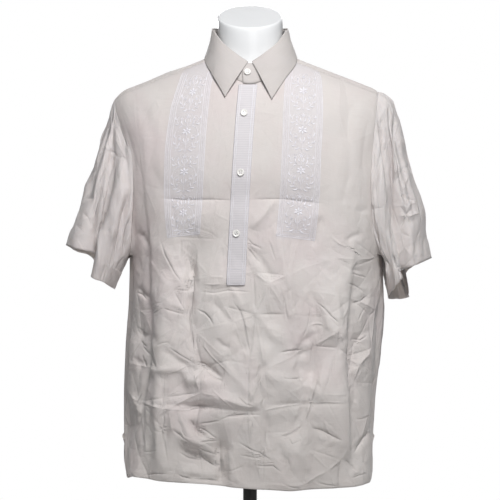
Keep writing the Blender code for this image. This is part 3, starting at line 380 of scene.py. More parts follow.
def body_normal(side, p):
    """The way out of the body's cloth at points on it, from how its section and dome grow."""
    sign, dome = (-1.0 if side == "front" else 1.0), DOME[side]
    x, y, z = p[..., 0], np.abs(p[..., 1]), p[..., 2]

    def level(x, z):
        n = body_at("square", z)
        across = np.clip(1 - (np.abs(x) / reach(x, z)) ** n, 1e-6, 1) ** (1 / n)
        rise = np.clip((z - dome["start"]) / (ridge(x) - dome["start"]), 0, 2)
        return (y / (body_at(side, z) * across)) ** dome["full"] + rise ** dome["full"]

    e, m = 1e-4, dome["full"]
    n = body_at("square", z)
    far = body_at(side, z) * np.clip(1 - (np.abs(x) / reach(x, z)) ** n, 1e-6, 1) ** (1 / n)
    grow = np.stack([level(x + e, z) - level(x - e, z), sign * 2 * e * m * (y / far) ** (m - 1) / far, level(x, z + e) - level(x, z - e)], -1)
    return grow / np.maximum(np.linalg.norm(grow, axis=-1, keepdims=True), 1e-12)


def off_body(side, x, z, lift):
    """A point that stands lift off the body's cloth."""
    p = on_body(side, x, z)
    return p + body_normal(side, p) * np.asarray(lift)[..., None]


def armhole_x(side, z):
    """How far out the armhole's edge lies at height z on the left or right."""
    share = np.clip((z - UNDERARM_Z) / (SHOULDER_TIP_Z[side] - UNDERARM_Z), 0, 1)
    return smooth([row[0] for row in ARMHOLE], [row[1 if side == "left" else 2] for row in ARMHOLE], share)


def neckline_z(side, x):
    """Height of the neckline on the front or back above x."""
    sign = -1.0 if side == "front" else 1.0
    far = NECK_FRONT if side == "front" else NECK_BACK
    y = np.abs(NECK_Y + sign * far * np.sqrt(np.clip(1 - (x / NECK_X) ** 2, 0, 1)))
    dome = DOME[side]
    z = np.full_like(np.asarray(x, float), 0.99)
    for _ in range(12):
        n = body_at("square", z)
        across = np.clip(1 - (np.abs(x) / reach(x, z)) ** n, 0, 1) ** (1 / n)
        over = np.clip(y / (body_at(side, z) * across), 0, 1)
        z = dome["start"] + (ridge(x) - dome["start"]) * (1 - over ** dome["full"]) ** (1 / dome["full"])
    return z


def seam_z(x):
    """Height of the forward shoulder seam above x."""
    share = np.clip((np.abs(x) - RIDGE_X) / (0.245 - RIDGE_X), 0, 1)
    return ridge(x) - (SEAM_DROP_NECK + (SEAM_DROP_TIP - SEAM_DROP_NECK) * share)


NECK_SEAM_X = NECK_X * math.sqrt(1 - ((0.034 + NECK_Y) / NECK_FRONT) ** 2)


# ------------------------------------------------------------------ grids
def bend_run(curve, weight):
    """Distance run along a curve, with weight metres added for each radian that it turns."""
    d = np.diff(curve, axis=0)
    length = np.linalg.norm(d, axis=1)
    way = d / np.maximum(length, 1e-9)[:, None]
    turned_by = np.arccos(np.clip((way[1:] * way[:-1]).sum(1), -1, 1))
    return np.concatenate([[0], np.cumsum(length + weight * np.concatenate([[0], turned_by]))])


def normals(grid, closed=False):
    """Unit normals of a grid of points, rows x columns x 3, pointing the way that rows cross columns do."""
    along = np.empty_like(grid)
    if closed:
        along = np.roll(grid, -1, 1) - np.roll(grid, 1, 1)
    else:
        along[:, 1:-1] = grid[:, 2:] - grid[:, :-2]
        along[:, 0], along[:, -1] = grid[:, 1] - grid[:, 0], grid[:, -1] - grid[:, -2]
    up = np.empty_like(grid)
    up[1:-1] = grid[2:] - grid[:-2]
    up[0], up[-1] = grid[1] - grid[0], grid[-1] - grid[-2]
    n = np.cross(along, up)
    return n / np.maximum(np.linalg.norm(n, axis=-1, keepdims=True), 1e-12)


def stroke(points, row, flat=(0, 2)):
    """Height of one fold at each point: a soft ridge or trough along a line, fading at its ends."""
    name, x0, z0, x1, z1, width, height = row
    p = points[..., list(flat)]
    a, b = np.array([x0, z0]), np.array([x1, z1])
    d = b - a
    length = np.linalg.norm(d)
    t = ((p - a) @ d) / length**2
    off = np.abs((p - a) @ np.array([-d[1], d[0]])) / length
    ends = np.clip(np.minimum(t, 1 - t) * length / 0.05 + 0.55, 0, 1)
    return height * np.exp(-((off / width) ** 2)) * (ends * ends * (3 - 2 * ends))


def steps(count, ease):
    """Shares from -1 to 1, closer together towards the ends as ease grows."""
    u = np.linspace(-1, 1, count)
    return (1 - ease) * u + ease * np.sin(u * math.pi / 2)


def edge_run(which):
    """How far round the section the armhole's edge lies by height, evened out, so that columns inside the edge don't turn sharply at the underarm."""
    z = np.linspace(0.15, 1.05, 901)
    a, n = body_at(which, z), body_at("square", z)
    edge = np.where(z > UNDERARM_Z, np.minimum(armhole_x(which, z), a * 0.99999), a)
    round_by = np.arcsin(np.clip((edge / a) ** (n / 2), 0, 1))
    window = np.hanning(151)
    held = np.pad(round_by, 75, mode="edge")
    even = np.convolve(held, window / window.sum(), mode="valid")
    top = np.clip((z - 0.86) / 0.06, 0, 1)
    return z, even + (round_by - even) * top


EDGE_RUN = {which: edge_run(which) for which in ("left", "right")}


def panel(side, columns, rows, top, hem, folds):
    """Front or back panel: columns run from the hem up to the top edge, and rows across from side to side."""
    u = steps(columns, 0.35)
    v = np.linspace(0, 1, rows)
    fine = np.linspace(0, math.pi / 2, 400)
    n = 2.6
    cx, cy = 0.228 * np.sin(fine) ** (2 / n), 0.122 * np.cos(fine) ** (2 / n)
    run = np.concatenate([[0], np.cumsum(np.hypot(np.diff(cx), np.diff(cy)))])
    angle = np.interp(np.abs(u) * run[-1], run, fine)

    def x_at(k, z):
        which = "left" if u[k] < 0 else "right"
        a, n = body_at(which, z), body_at("square", z)
        edge = np.where(z > UNDERARM_Z, np.minimum(armhole_x(which, z), a * 0.99999), a)
        vent = np.clip((VENT_TOP_Z - z) / 0.03, 0, 1)
        calm = np.interp(z, *EDGE_RUN[which])
        share = abs(u[k]) ** 5
        widest = calm + (np.arcsin(np.clip((edge / a) ** (n / 2), 0, 1)) - calm) * share
        if side == "front":
            widest = widest - VENT_SET_BACK / 0.24 * vent * vent * (3 - 2 * vent)
        x = a * np.sin(angle[k] / (math.pi / 2) * widest) ** (2 / n)
        return math.copysign(1.0, u[k]) * x if abs(u[k]) > 1e-9 else 0.0 * x

    grid = np.zeros((rows, columns, 3))
    for k in range(columns):
        low, high = 0.24, 0.93
        for _ in range(25):
            low = float(hem(k, x_at(k, np.float64(low)), u))
            high = float(top(x_at(k, np.float64(high))))
        z = np.linspace(low, high, 240)
        x = x_at(k, z)
        curve = on_body(side, x, z)
        run = bend_run(curve, BEND_WEIGHT)
        z = np.interp(v * run[-1], run, z)
        grid[:, k] = on_body(side, x_at(k, z), z)
    sign = -1.0 if side == "front" else 1.0
    out = normals(grid)
    out *= np.where((out[..., 1] * sign).sum() < 0, -1.0, 1.0)
    rise = sum(stroke(grid, row) for row in folds)
    edge = np.minimum(np.abs(grid[..., 2] - grid[-1:, :, 2]) / 0.04, 1)
    rim = np.minimum(np.minimum(np.arange(columns), np.arange(columns)[::-1]) * 12.0 / (columns - 1), 1)
    upper = grid[..., 2] > VENT_TOP_Z
    hold = edge * np.where(upper, rim[None, :], 1.0)
    return grid + out * (rise * hold)[..., None]


def hem_height(k, x, u, base):
    """The hem, which rises round a corner at each side vent."""
    from_side = (1 - abs(u[k])) * 0.275
    corner = HEM_CORNER - math.sqrt(max(HEM_CORNER**2 - max(HEM_CORNER - from_side, 0) ** 2, 0))
    return base + 0.006 * min(abs(x) / 0.2, 1) ** 2 + corner


def front_hem(k, x, u):
    return hem_height(k, x, u, HEM_FRONT_Z) + float(smooth([row[0] for row in HEM_SWAY], [row[1] for row in HEM_SWAY], x))


def front_top(x):
    ax = abs(float(x))
    z = float(neckline_z("front", np.float64(x))) if ax < NECK_SEAM_X else float(seam_z(np.float64(x)))
    return z - SEAM_GAP / 2


def back_seam(x):
    return YOKE_SEAM_Z + YOKE_SEAM_RISE * (1 - np.minimum(np.abs(x) / 0.22, 1) ** 2)


def part_at_sides(grid, side):
    """Moves the points of a panel's side edges off the seam's plane, to leave the seam's gap."""
    sign = -1.0 if side == "front" else 1.0
    moved = grid.copy()
    moved[..., 1] = sign * np.maximum(sign * moved[..., 1], SEAM_GAP / 2 + 0.0001)
    return moved


def yoke(columns, rows):
    """Over the shoulders, from the forward seams, and across the back down to its seam."""
    inner = NECK_X * np.sin(np.linspace(-math.pi / 2, math.pi / 2, 2 * columns + 1))[1:-1]
    near = NECK_X + np.array([step[0] for step in YOKE_NECK])
    outer = front[-1, :, 0]
    left, right = outer[outer < -NECK_X - 0.008], outer[outer > NECK_X + 0.008]
    u = np.concatenate([left / -left[0], -near / -left[0], inner / right[-1], near[::-1] / right[-1], right / right[-1]])
    lead = np.array([step[1] for step in YOKE_NECK])
    lead = np.concatenate([np.ones(len(left)), lead, np.zeros(len(inner)), lead[::-1], np.ones(len(right))])
    grid, ways = np.zeros((rows, len(u), 3)), np.zeros((rows, len(u), 3))
    for k in range(len(u)):
        def x_at(z, k=k):
            which = "left" if u[k] < 0 else "right"
            return u[k] * armhole_x(which, np.asarray(z, float))

        front_part, ahead_count = lead[k] > 0, rows * 2 // 5
        seam, ahead_seam, top_z = YOKE_SEAM_Z, 0.93, 0.93
        for _ in range(8):
            seam = float(back_seam(x_at(seam))) + SEAM_GAP / 2
            ahead_seam = float(seam_z(x_at(ahead_seam))) + SEAM_GAP / 2
            top_z = float(ridge(x_at(top_z)) if front_part else neckline_z("back", x_at(top_z)))
        q = np.linspace(0, 1, 120)
        zb = top_z - (top_z - seam) * (q**2.5 if front_part else q)
        curve = on_body("back", x_at(zb), zb)
        out = body_normal("back", curve)
        if front_part:
            q = np.linspace(lead[k], 0, 60)
            zf = top_z - (top_z - ahead_seam) * q**2
            ahead = on_body("front", x_at(zf), zf)
            curve, out = np.concatenate([ahead[:-1], curve]), np.concatenate([body_normal("front", ahead[:-1]), out])
        run = bend_run(curve, 2 * BEND_WEIGHT)
        split = max(run[59] if front_part else 0.0, run[-1] * 0.004)
        at = np.concatenate([np.linspace(0, split, ahead_count, endpoint=False), np.linspace(split, run[-1], rows - ahead_count)])
        grid[:, k] = np.stack([np.interp(at, run, curve[:, i]) for i in range(3)], -1)
        ways[:, k] = np.stack([np.interp(at, run, out[:, i]) for i in range(3)], -1)
    ways /= np.linalg.norm(ways, axis=-1, keepdims=True)
    return grid, grid - ways * CLOTH


def sleeve(name, columns, rows):
    which = name.split("_")[1]
    sign = -1.0 if which == "left" else 1.0
    hem_share, seam_share = zip(*SLEEVE_LINES[name])
    fine = np.linspace(0, 1, 2001)
    turn = np.interp(np.linspace(0, 1, columns, endpoint=False), (fine + smooth(hem_share, seam_share, fine)) / 2, fine)
    around_seam = smooth(hem_share, seam_share, turn)
    middle, half = (SHOULDER_TIP_Z[which] + UNDERARM_Z) / 2, (SHOULDER_TIP_Z[which] - UNDERARM_Z) / 2
    z = middle + half * np.cos(around_seam * 2 * math.pi)
    x = sign * np.minimum(armhole_x(which, z), body_at(which, z) * 0.99999)
    ahead = around_seam < 0.5
    y = np.where(ahead, -depth("front", x, z), depth("back", x, z))
    start = np.stack([x, y, z], -1)
    rows_hem = SLEEVE_HEM[name]
    where = [row[1] for row in rows_hem]
    end = np.stack([ring_curve(where, [row[i] for row in rows_hem], turn) for i in (2, 3, 4)], -1)
    down = np.linspace(0, 1, rows)[:, None, None] ** 1.25
    grid = start + (end - start) * down
    swell = SLEEVE_SWELL[name]
    belly = 4 * down[..., 0] * (1 - down[..., 0])
    outward = np.clip(np.cos(turn * 2 * math.pi), 0, 1)
    forward = np.clip(np.sin(turn * 2 * math.pi), -1, 1)
    cap = np.sqrt(np.clip(down[..., 0] / 0.06, 0, 1)) * (1 - down[..., 0])
    grid[..., 0] += sign * (swell["out"] * belly + swell["cap"] * cap) * outward
    grid[..., 1] -= belly * np.where(forward > 0, swell["front"] * forward, swell["back"] * forward)
    out = normals(grid, True)
    centre = grid.mean(1, keepdims=True)
    out *= np.where(((grid - centre) * out).sum() < 0, -1.0, 1.0)
    around = np.linalg.norm(np.diff(np.concatenate([grid, grid[:, :1]], 1), axis=1), axis=-1).sum(1)[:, None]
    rise = np.zeros(grid.shape[:2])
    for _, turn0, turn1, down0, down1, width, height in SLEEVE_FOLDS[name]:
        share = np.clip((down[..., 0] - down0) / (down1 - down0), 0, 1)
        at = turn0 + (turn1 - turn0) * share
        off = (np.abs((turn - at + 0.5) % 1 - 0.5)) * around
        fade = np.clip((down[..., 0] - down0) / 0.2 + 0.3, 0, 1) * np.clip((down1 - down[..., 0]) / 0.2 + (1.0 if down1 >= 1 else 0.3), 0, 1)
        rise += height * np.exp(-((off / width) ** 2)) * fade
    rise *= np.clip(down[..., 0] / 0.12, 0, 1)
    grid = grid + out * rise[..., None]
    clear = SEAM_GAP + CLOTH * np.abs(out[:1, :, 0]) + 0.0004
    grid[..., 0] += sign * clear
    return grid


def collar_fold(turn):
    """The collar's fold at turn degrees from the centre back, below zero on the left."""
    a = np.abs(turn)
    cols = list(zip(*COLLAR_FOLD))
    x, y, z = (smooth(cols[0], cols[i], a) for i in (1, 2, 3))
    return np.stack([np.sign(turn) * x, y, z], -1)


def neck_seam(turn):
    """The neckline at turn degrees from the centre back."""
    t = np.radians(turn)
    x = NECK_X * np.sin(t)
    ahead = np.abs(turn) > 90
    z = np.where(ahead, neckline_z("front", x), neckline_z("back", x))
    y = NECK_Y + np.where(ahead, NECK_FRONT, NECK_BACK) * np.cos(t)
    return np.stack([x, y, z], -1)


def collar_stand(columns, rows):
    """A band round the neck whose right end laps over the left one."""
    turn = np.linspace(-178.0, 190.0, columns)
    wrapped = np.where(turn > 180, turn - 360, turn)
    low, high = neck_seam(wrapped), collar_fold(wrapped)
    lap = np.clip((turn - 160) / 16, 0, 1)[:, None]
    ways = (low + high) / 2 - np.array([0, NECK_Y, 0])
    ways[:, 2] = 0
    ways /= np.linalg.norm(ways, axis=1, keepdims=True)
    low = low + ways * 0.0022 * lap + np.array([0, 0, STAND_HEIGHT_GAP + 0.0004])
    high = high - ways * (0.0036 - 0.0022 * lap) - np.array([0, 0, 0.0030])
    v = np.linspace(0, 1, rows)[:, None, None]
    grid = low + (high - low) * v
    bulge = 4 * v[..., 0] * (1 - v[..., 0]) * 0.0012
    return grid + ways[None] * bulge[..., None]


def collar_leaf(columns, rows):
    share = steps(columns, 0.30)
    cols = list(zip(*LEAF_EDGE))
    a = np.abs(share)
    left = share < 0
    x = np.where(left, -smooth(cols[0], cols[1], a), smooth(cols[0], cols[2], a))
    drop = np.where(left, smooth(cols[0], cols[3], a), smooth(cols[0], cols[4], a))
    lift = smooth(cols[0], cols[5], a)
    z = ridge(x) - np.abs(drop)
    edge = np.where((drop > 0)[:, None], off_body("front", x, z, lift), off_body("back", x, z, lift))
    fold = collar_fold(np.sign(share) * 180.0 * np.clip(a, 0, 1) ** 0.95)
    v = np.linspace(0, 1, rows)[:, None, None]
    grid = fold + (edge - fold) * v
    ways = (fold + edge) / 2 - np.array([0, NECK_Y, 0])
    ways[:, 2] = 0
    ways /= np.linalg.norm(ways, axis=1, keepdims=True)
    roll = smooth(cols[0], cols[6], a) * np.abs(np.sin(v[..., 0] * math.pi)) ** 0.8
    grid = grid + ways[None] * roll[..., None]
    return grid


def form_rings(columns):
    turn = np.linspace(0, 2 * math.pi, columns, endpoint=False)
    s, c = np.sin(turn), np.cos(turn)
    levels = [row[1] for row in FORM]
    z_all = np.unique(np.concatenate([np.linspace(levels[0] + FORM_UNDER_ROUND, 0.88, 15), np.linspace(0.88, levels[-1], 11)]))
    out = []

    def ring(z, shrink=0.0, at=None):
        side, ahead, behind, n = (smooth(levels, [row[i] for row in FORM], z) for i in (2, 3, 4, 5))
        x = (side - shrink) * np.sign(c) * np.abs(c) ** (2 / n)
        y = np.where(s < 0, ahead - shrink, behind - shrink) * np.sign(s) * np.abs(s) ** (2 / n)
        return np.stack([x, y, np.full_like(x, z if at is None else at)], -1)

    r = FORM_UNDER_ROUND
    for t in (0, 22.5, 45, 67.5):
        out.append(ring(levels[0] + r, shrink=r * (1 - math.sin(math.radians(t))), at=levels[0] + r * (1 - math.cos(math.radians(t)))))
    for z in z_all:
        out.append(ring(z))
    tilt = math.tan(math.radians(FORM_NECK_SLANT))
    base = levels[-1]
    ahead, behind = FORM[-1][3], FORM[-1][4]
    for k, share in enumerate((0.25, 0.5, 0.75)):
        y0 = out[-1][:, 1] * 0
        r_side = FORM[-1][2] + (FORM_NECK_R - FORM[-1][2]) * share
        r_front = ahead + (FORM_NECK_R - ahead) * share
        x, y = r_side * c, np.where(s < 0, r_front, behind + (FORM_NECK_R - behind) * share) * s
        top_z = FORM_NECK_TOP_Z + y * tilt - FORM_NECK_ROUND
        out.append(np.stack([x, y + y0, base + (top_z - base) * share], -1))
    for t in (0, 30, 60, 90):
        rr = FORM_NECK_R - FORM_NECK_ROUND * (1 - math.cos(math.radians(t)))
        x, y = rr * c, rr * s
        top_z = FORM_NECK_TOP_Z + y * tilt - FORM_NECK_ROUND * (1 - math.sin(math.radians(t)))
        out.append(np.stack([x, y, top_z], -1))
    return np.array(out)


# ------------------------------------------------------------------ creases of the worn cloth
FRONT_CREASES = (
    # name, width, height, kind, points (x, z)
    ("left fold edge high", 0.0140, -0.0010, "step", ((-0.1923, 0.8713), (-0.1885, 0.8143), (-0.1864, 0.7610), (-0.1819, 0.7080))),
    ("left fold edge", 0.0400, -0.0055, "step", ((-0.1864, 0.7504), (-0.1774, 0.6585), (-0.1754, 0.5492), (-0.1762, 0.4435), (-0.1865, 0.3862), (-0.1885, 0.3188), (-0.1886, 0.2548))),
    ("right fold edge", 0.0500, -0.0065, "step", ((0.1749, 0.2593), (0.1755, 0.3375), (0.1741, 0.4263), (0.1756, 0.5145), (0.1792, 0.5847), (0.1881, 0.6814))),
    ("chest crease left", 0.0035, -0.0016, "sharp", ((-0.1580, 0.7454), (-0.1117, 0.7422), (-0.0679, 0.7429), (-0.0313, 0.7411))),
    ("chest crease right", 0.0035, -0.0013, "sharp", ((0.0035, 0.7428), (0.0574, 0.7437), (0.0923, 0.7395), (0.1292, 0.7362))),
    ("band fold", 0.0045, -0.0008, "sharp", ((-0.1382, 0.7442), (-0.1337, 0.7161), (-0.1275, 0.6725))),
    ("belly valley", 0.0090, -0.0036, "sharp", ((-0.1222, 0.6760), (-0.1048, 0.6340), (-0.0996, 0.5851), (-0.1013, 0.5152), (-0.0996, 0.4767), (-0.0821, 0.4488))),
    ("belly facet a", 0.0100, 0.0020, "sharp", ((-0.1577, 0.5674), (-0.1258, 0.5571), (-0.0978, 0.5432))),
    ("belly facet b", 0.0090, -0.0026, "sharp", ((-0.1381, 0.5886), (-0.1118, 0.5362), (-0.0874, 0.5082))),
    ("hip line", 0.0070, 0.0030, "sharp", ((-0.1892, 0.4428), (-0.1614, 0.4445), (-0.1102, 0.4494))),
    ("hip diagonal", 0.0080, -0.0032, "sharp", ((-0.1577, 0.4850), (-0.1259, 0.4609), (-0.0874, 0.4401))),
    ("hip pocket", 0.0090, -0.0050, "sharp", ((-0.0909, 0.4609), (-0.0698, 0.4456), (-0.0453, 0.4276))),
    ("long diagonal", 0.0100, 0.0024, "sharp", ((-0.0610, 0.4771), (-0.0279, 0.4355), (0.0035, 0.4005), (0.0244, 0.3777))),
    ("long diagonal under", 0.0110, -0.0014, "sharp", ((-0.0786, 0.4593), (-0.0418, 0.4180), (0.0000, 0.3813))),
    ("pressed line left", 0.0050, -0.0030, "sharp", ((-0.1893, 0.3843), (-0.1226, 0.3836), (-0.0646, 0.3791), (0.0174, 0.3725))),
    ("pressed line right", 0.0045, -0.0020, "sharp", ((0.0227, 0.3847), (0.0875, 0.3854), (0.1706, 0.3877))),
    ("star down", 0.0055, -0.0026, "sharp", ((0.0262, 0.3742), (0.0305, 0.3444), (0.0314, 0.3111))),
    ("star left", 0.0080, -0.0034, "sharp", ((0.0209, 0.3760), (-0.0174, 0.3672), (-0.0559, 0.3686))),
    ("star ridge", 0.0080, 0.0030, "sharp", ((-0.0663, 0.4002), (-0.0209, 0.3882), (0.0174, 0.3795))),
    ("low slash", 0.0060, -0.0046, "sharp", ((-0.1068, 0.3592), (-0.0910, 0.3400), (-0.0735, 0.3207))),
    ("low slash ridge", 0.0080, 0.0026, "sharp", ((-0.1190, 0.3505), (-0.1015, 0.3260), (-0.0874, 0.3105))),
    ("right sweep", 0.0100, -0.0042, "sharp", ((0.1138, 0.4922), (0.1067, 0.4275), (0.0998, 0.3855), (0.0663, 0.3251))),
    ("right sweep ridge", 0.0100, 0.0034, "sharp", ((0.1295, 0.4765), (0.1242, 0.4188), (0.1190, 0.3751))),
    ("right low crease", 0.0060, -0.0030, "sharp", ((0.1067, 0.3455), (0.1331, 0.3346), (0.1598, 0.3196))),
    ("low shadow", 0.0120, -0.0064, "sharp", ((-0.1296, 0.3100), (-0.0909, 0.2947), (-0.0507, 0.2754))),
    ("low shadow ridge", 0.0110, 0.0034, "sharp", ((-0.1296, 0.3294), (-0.0875, 0.3139), (-0.0490, 0.2997))),
    ("right side slash", 0.0060, -0.0036, "sharp", ((0.2211, 0.3297), (0.2009, 0.3137), (0.1823, 0.2993))),
    ("right side tick", 0.0050, -0.0026, "sharp", ((0.1637, 0.2906), (0.1749, 0.2770), (0.1859, 0.2636))),
    ("left upright", 0.0070, -0.0034, "sharp", ((-0.1489, 0.4377), (-0.1472, 0.3659), (-0.1491, 0.2901))),
    ("left upright ridge", 0.0080, 0.0028, "sharp", ((-0.1633, 0.4268), (-0.1652, 0.3563), (-0.1634, 0.2825))),
    ("placket triangle a", 0.0080, 0.0030, "sharp", ((0.0470, 0.7472), (0.0226, 0.7141), (-0.0035, 0.6880))),
    ("placket triangle b", 0.0080, -0.0030, "sharp", ((0.0000, 0.6619), (0.0243, 0.6272), (0.0470, 0.5959))),
    ("placket triangle c", 0.0090, 0.0026, "sharp", ((0.0348, 0.7158), (0.0522, 0.6550), (0.0714, 0.5853), (0.0821, 0.4803))),
    ("right band drag a", 0.0070, -0.0024, "sharp", ((0.1274, 0.7178), (0.1186, 0.6864), (0.1082, 0.6585))),
    ("right band drag b", 0.0060, -0.0024, "sharp", ((0.1664, 0.6690), (0.1826, 0.6796), (0.1991, 0.6850))),
    ("right facet a", 0.0080, -0.0032, "sharp", ((0.1029, 0.5957), (0.1153, 0.5467), (0.1136, 0.5082), (0.0786, 0.4769))),
    ("right facet b", 0.0055, -0.0024, "sharp", ((0.0733, 0.4770), (0.0874, 0.4741), (0.1015, 0.4765))),
    ("right facet c", 0.0090, 0.0022, "sharp", ((0.1187, 0.5677), (0.1450, 0.5152), (0.1703, 0.4584))),
    ("right facet d", 0.0080, -0.0026, "sharp", ((0.1574, 0.5955), (0.1646, 0.5534), (0.1702, 0.5076))),
    ("right hip crease a", 0.0060, -0.0018, "sharp", ((0.1776, 0.4897), (0.2016, 0.5030), (0.2281, 0.5124))),
    ("right hip crease b", 0.0060, -0.0016, "sharp", ((0.1792, 0.5566), (0.1976, 0.5668), (0.2199, 0.5681))),
    ("right hip crease c", 0.0060, 0.0026, "sharp", ((0.1797, 0.4330), (0.1981, 0.4569), (0.2246, 0.4732))),
    ("under placket a", 0.0060, -0.0022, "sharp", ((-0.0820, 0.5834), (-0.0452, 0.5872), (-0.0087, 0.5907))),
    ("under placket b", 0.0070, -0.0026, "sharp", ((-0.0645, 0.5679), (-0.0487, 0.5471), (-0.0296, 0.5245))),
    ("under placket c", 0.0080, 0.0026, "sharp", ((0.0000, 0.5611), (0.0209, 0.5298), (0.0522, 0.4913))),
    ("under placket d", 0.0070, -0.0022, "sharp", ((-0.0296, 0.5158), (-0.0174, 0.4914), (-0.0035, 0.4722))),
    ("middle tick", 0.0060, -0.0024, "sharp", ((0.0296, 0.4617), (0.0174, 0.4425), (0.0070, 0.4198))),
    ("centre fall", 0.0100, 0.0030, "sharp", ((0.0209, 0.4984), (0.0313, 0.4600), (0.0383, 0.4144))),
    ("low right fall", 0.0070, -0.0026, "sharp", ((0.0454, 0.3216), (0.0541, 0.2991), (0.0646, 0.2746))),
    ("low right ridge", 0.0090, 0.0030, "sharp", ((0.0698, 0.3129), (0.0943, 0.2918), (0.1085, 0.2594))),
    ("hem pleat", 0.0070, -0.0042, "sharp", ((-0.0543, 0.3224), (-0.0507, 0.2841), (-0.0511, 0.2373))),
    ("hem pleat ridge", 0.0080, 0.0030, "sharp", ((-0.0367, 0.3089), (-0.0332, 0.2740), (-0.0317, 0.2356))),
    ("left strip fold a", 0.0060, -0.0036, "sharp", ((-0.2130, 0.5906), (-0.1988, 0.5787), (-0.1782, 0.5668))),
    ("left strip fold b", 0.0060, -0.0036, "sharp", ((-0.2142, 0.5122), (-0.1966, 0.5026), (-0.1819, 0.5067))),
    ("left strip fold c", 0.0060, -0.0034, "sharp", ((-0.2180, 0.4638), (-0.2021, 0.4529), (-0.1856, 0.4571))),
    ("left strip fold d", 0.0070, 0.0036, "sharp", ((-0.2198, 0.4013), (-0.2059, 0.3745), (-0.1912, 0.3576))),
    ("left strip fold e", 0.0070, -0.0036, "sharp", ((-0.2176, 0.3339), (-0.2041, 0.3463), (-0.1912, 0.3718))),
    ("left chest drag a", 0.0090, -0.0006, "soft", ((-0.1662, 0.8883), (-0.1729, 0.8314), (-0.1671, 0.7675))),
    ("left chest drag b", 0.0080, -0.0006, "soft", ((-0.1727, 0.8048), (-0.1580, 0.7743), (-0.1507, 0.7496))),
    ("right chest drag a", 0.0090, -0.0009, "soft", ((0.1661, 0.8847), (0.1760, 0.8310), (0.1736, 0.7602))),
    ("right chest drag b", 0.0080, -0.0009, "sharp", ((0.1792, 0.7921), (0.1683, 0.7672), (0.1610, 0.7338))),
    ("shoulder pull left", 0.0110, -0.0009, "soft", ((-0.1959, 0.9151), (-0.1806, 0.8852), (-0.1766, 0.8493))),
    ("shoulder pull right", 0.0110, -0.0009, "soft", ((0.1812, 0.9144), (0.1696, 0.8812), (0.1655, 0.8451))),
    ("armhole pull left", 0.0070, -0.0007, "sharp", ((-0.2213, 0.8799), (-0.2097, 0.8327), (-0.2002, 0.7790))),
    ("armhole pull right", 0.0070, -0.0010, "sharp", ((0.2100, 0.8899), (0.2017, 0.8390), (0.1975, 0.7784))),
    ("armpit crease left", 0.0060, -0.0030, "sharp", ((-0.2064, 0.6870), (-0.1931, 0.6798), (-0.1802, 0.6550))),
    ("armpit crease right", 0.0060, -0.0012, "sharp", ((0.2105, 0.7293), (0.1973, 0.7237), (0.1827, 0.7270))),
    ("waist crease right", 0.0050, -0.0016, "sharp", ((0.1574, 0.6340), (0.1790, 0.6199), (0.2048, 0.6162))),
    ("belly tick a", 0.0050, -0.0022, "sharp", ((-0.0593, 0.5016), (-0.0488, 0.4895), (-0.0331, 0.4826))),
    ("belly tick b", 0.0050, 0.0022, "sharp", ((-0.0365, 0.5959), (-0.0209, 0.5715), (-0.0122, 0.5472))),
    ("left mid facet", 0.0080, 0.0014, "sharp", ((-0.1766, 0.6409), (-0.1579, 0.6094), (-0.1381, 0.5886))),
    ("left mid valley", 0.0070, -0.0017, "sharp", ((-0.1726, 0.5669), (-0.1763, 0.5140), (-0.1613, 0.4849))),
    ("strip slash a", 0.0040, -0.0045, "line", ((-0.2129, 0.5799), (-0.2007, 0.5751), (-0.1893, 0.5665))),
    ("strip slash b", 0.0040, -0.0045, "line", ((-0.2122, 0.5177), (-0.2024, 0.5094), (-0.1911, 0.5046))),
    ("strip slash c", 0.0040, -0.0040, "line", ((-0.2062, 0.4933), (-0.1966, 0.4867), (-0.1874, 0.4835))),
    ("strip slash d", 0.0040, -0.0040, "line", ((-0.1985, 0.4689), (-0.1948, 0.4567), (-0.1856, 0.4465))),
    ("strip slash e", 0.0040, -0.0036, "line", ((-0.1948, 0.4036), (-0.2059, 0.3852), (-0.2137, 0.3665))),
    ("long left line", 0.0040, -0.0045, "line", ((-0.0995, 0.6620), (-0.0987, 0.5851), (-0.1040, 0.5362), (-0.0996, 0.4907), (-0.0944, 0.4591))),
    ("facet top", 0.0040, -0.0022, "line", ((-0.1328, 0.5851), (-0.1153, 0.5842), (-0.1031, 0.5834))),
    ("facet side", 0.0040, -0.0022, "line", ((-0.1328, 0.5833), (-0.1223, 0.5641), (-0.1101, 0.5432))),
    ("notch", 0.0040, -0.0040, "line", ((-0.1153, 0.6061), (-0.1066, 0.5939), (-0.0996, 0.5834))),
    ("outer drag line", 0.0040, -0.0027, "line", ((-0.1580, 0.6726), (-0.1473, 0.6445), (-0.1328, 0.6165), (-0.1171, 0.5956))),
    ("small v left", 0.0040, -0.0027, "line", ((-0.1101, 0.6463), (-0.1048, 0.6305), (-0.1013, 0.6078))),
    ("small v right", 0.0040, -0.0027, "line", ((-0.0943, 0.6550), (-0.0960, 0.6306), (-0.0995, 0.6096))),
    ("band foot line", 0.0040, -0.0027, "line", ((-0.1205, 0.6725), (-0.1197, 0.6515), (-0.1188, 0.6340))),
    ("belly press", 0.0040, -0.0027, "line", ((-0.0838, 0.5826), (-0.0627, 0.5801), (-0.0383, 0.5846), (0.0000, 0.5820))),
    ("belly press low", 0.0040, 0.0022, "line", ((-0.0767, 0.5957), (-0.0627, 0.5949), (-0.0487, 0.5959))),
    ("drag bend", 0.0040, -0.0036, "line", ((-0.0926, 0.5519), (-0.0768, 0.5451), (-0.0680, 0.5347), (-0.0627, 0.5225))),
    ("drag rise", 0.0040, 0.0022, "line", ((-0.0768, 0.5048), (-0.0804, 0.4873), (-0.0646, 0.4666), (-0.0418, 0.4459), (-0.0314, 0.4337))),
    ("belly curve", 0.0040, -0.0040, "line", ((-0.0296, 0.5646), (-0.0174, 0.5489), (-0.0104, 0.5280), (-0.0052, 0.4984), (0.0017, 0.4670))),
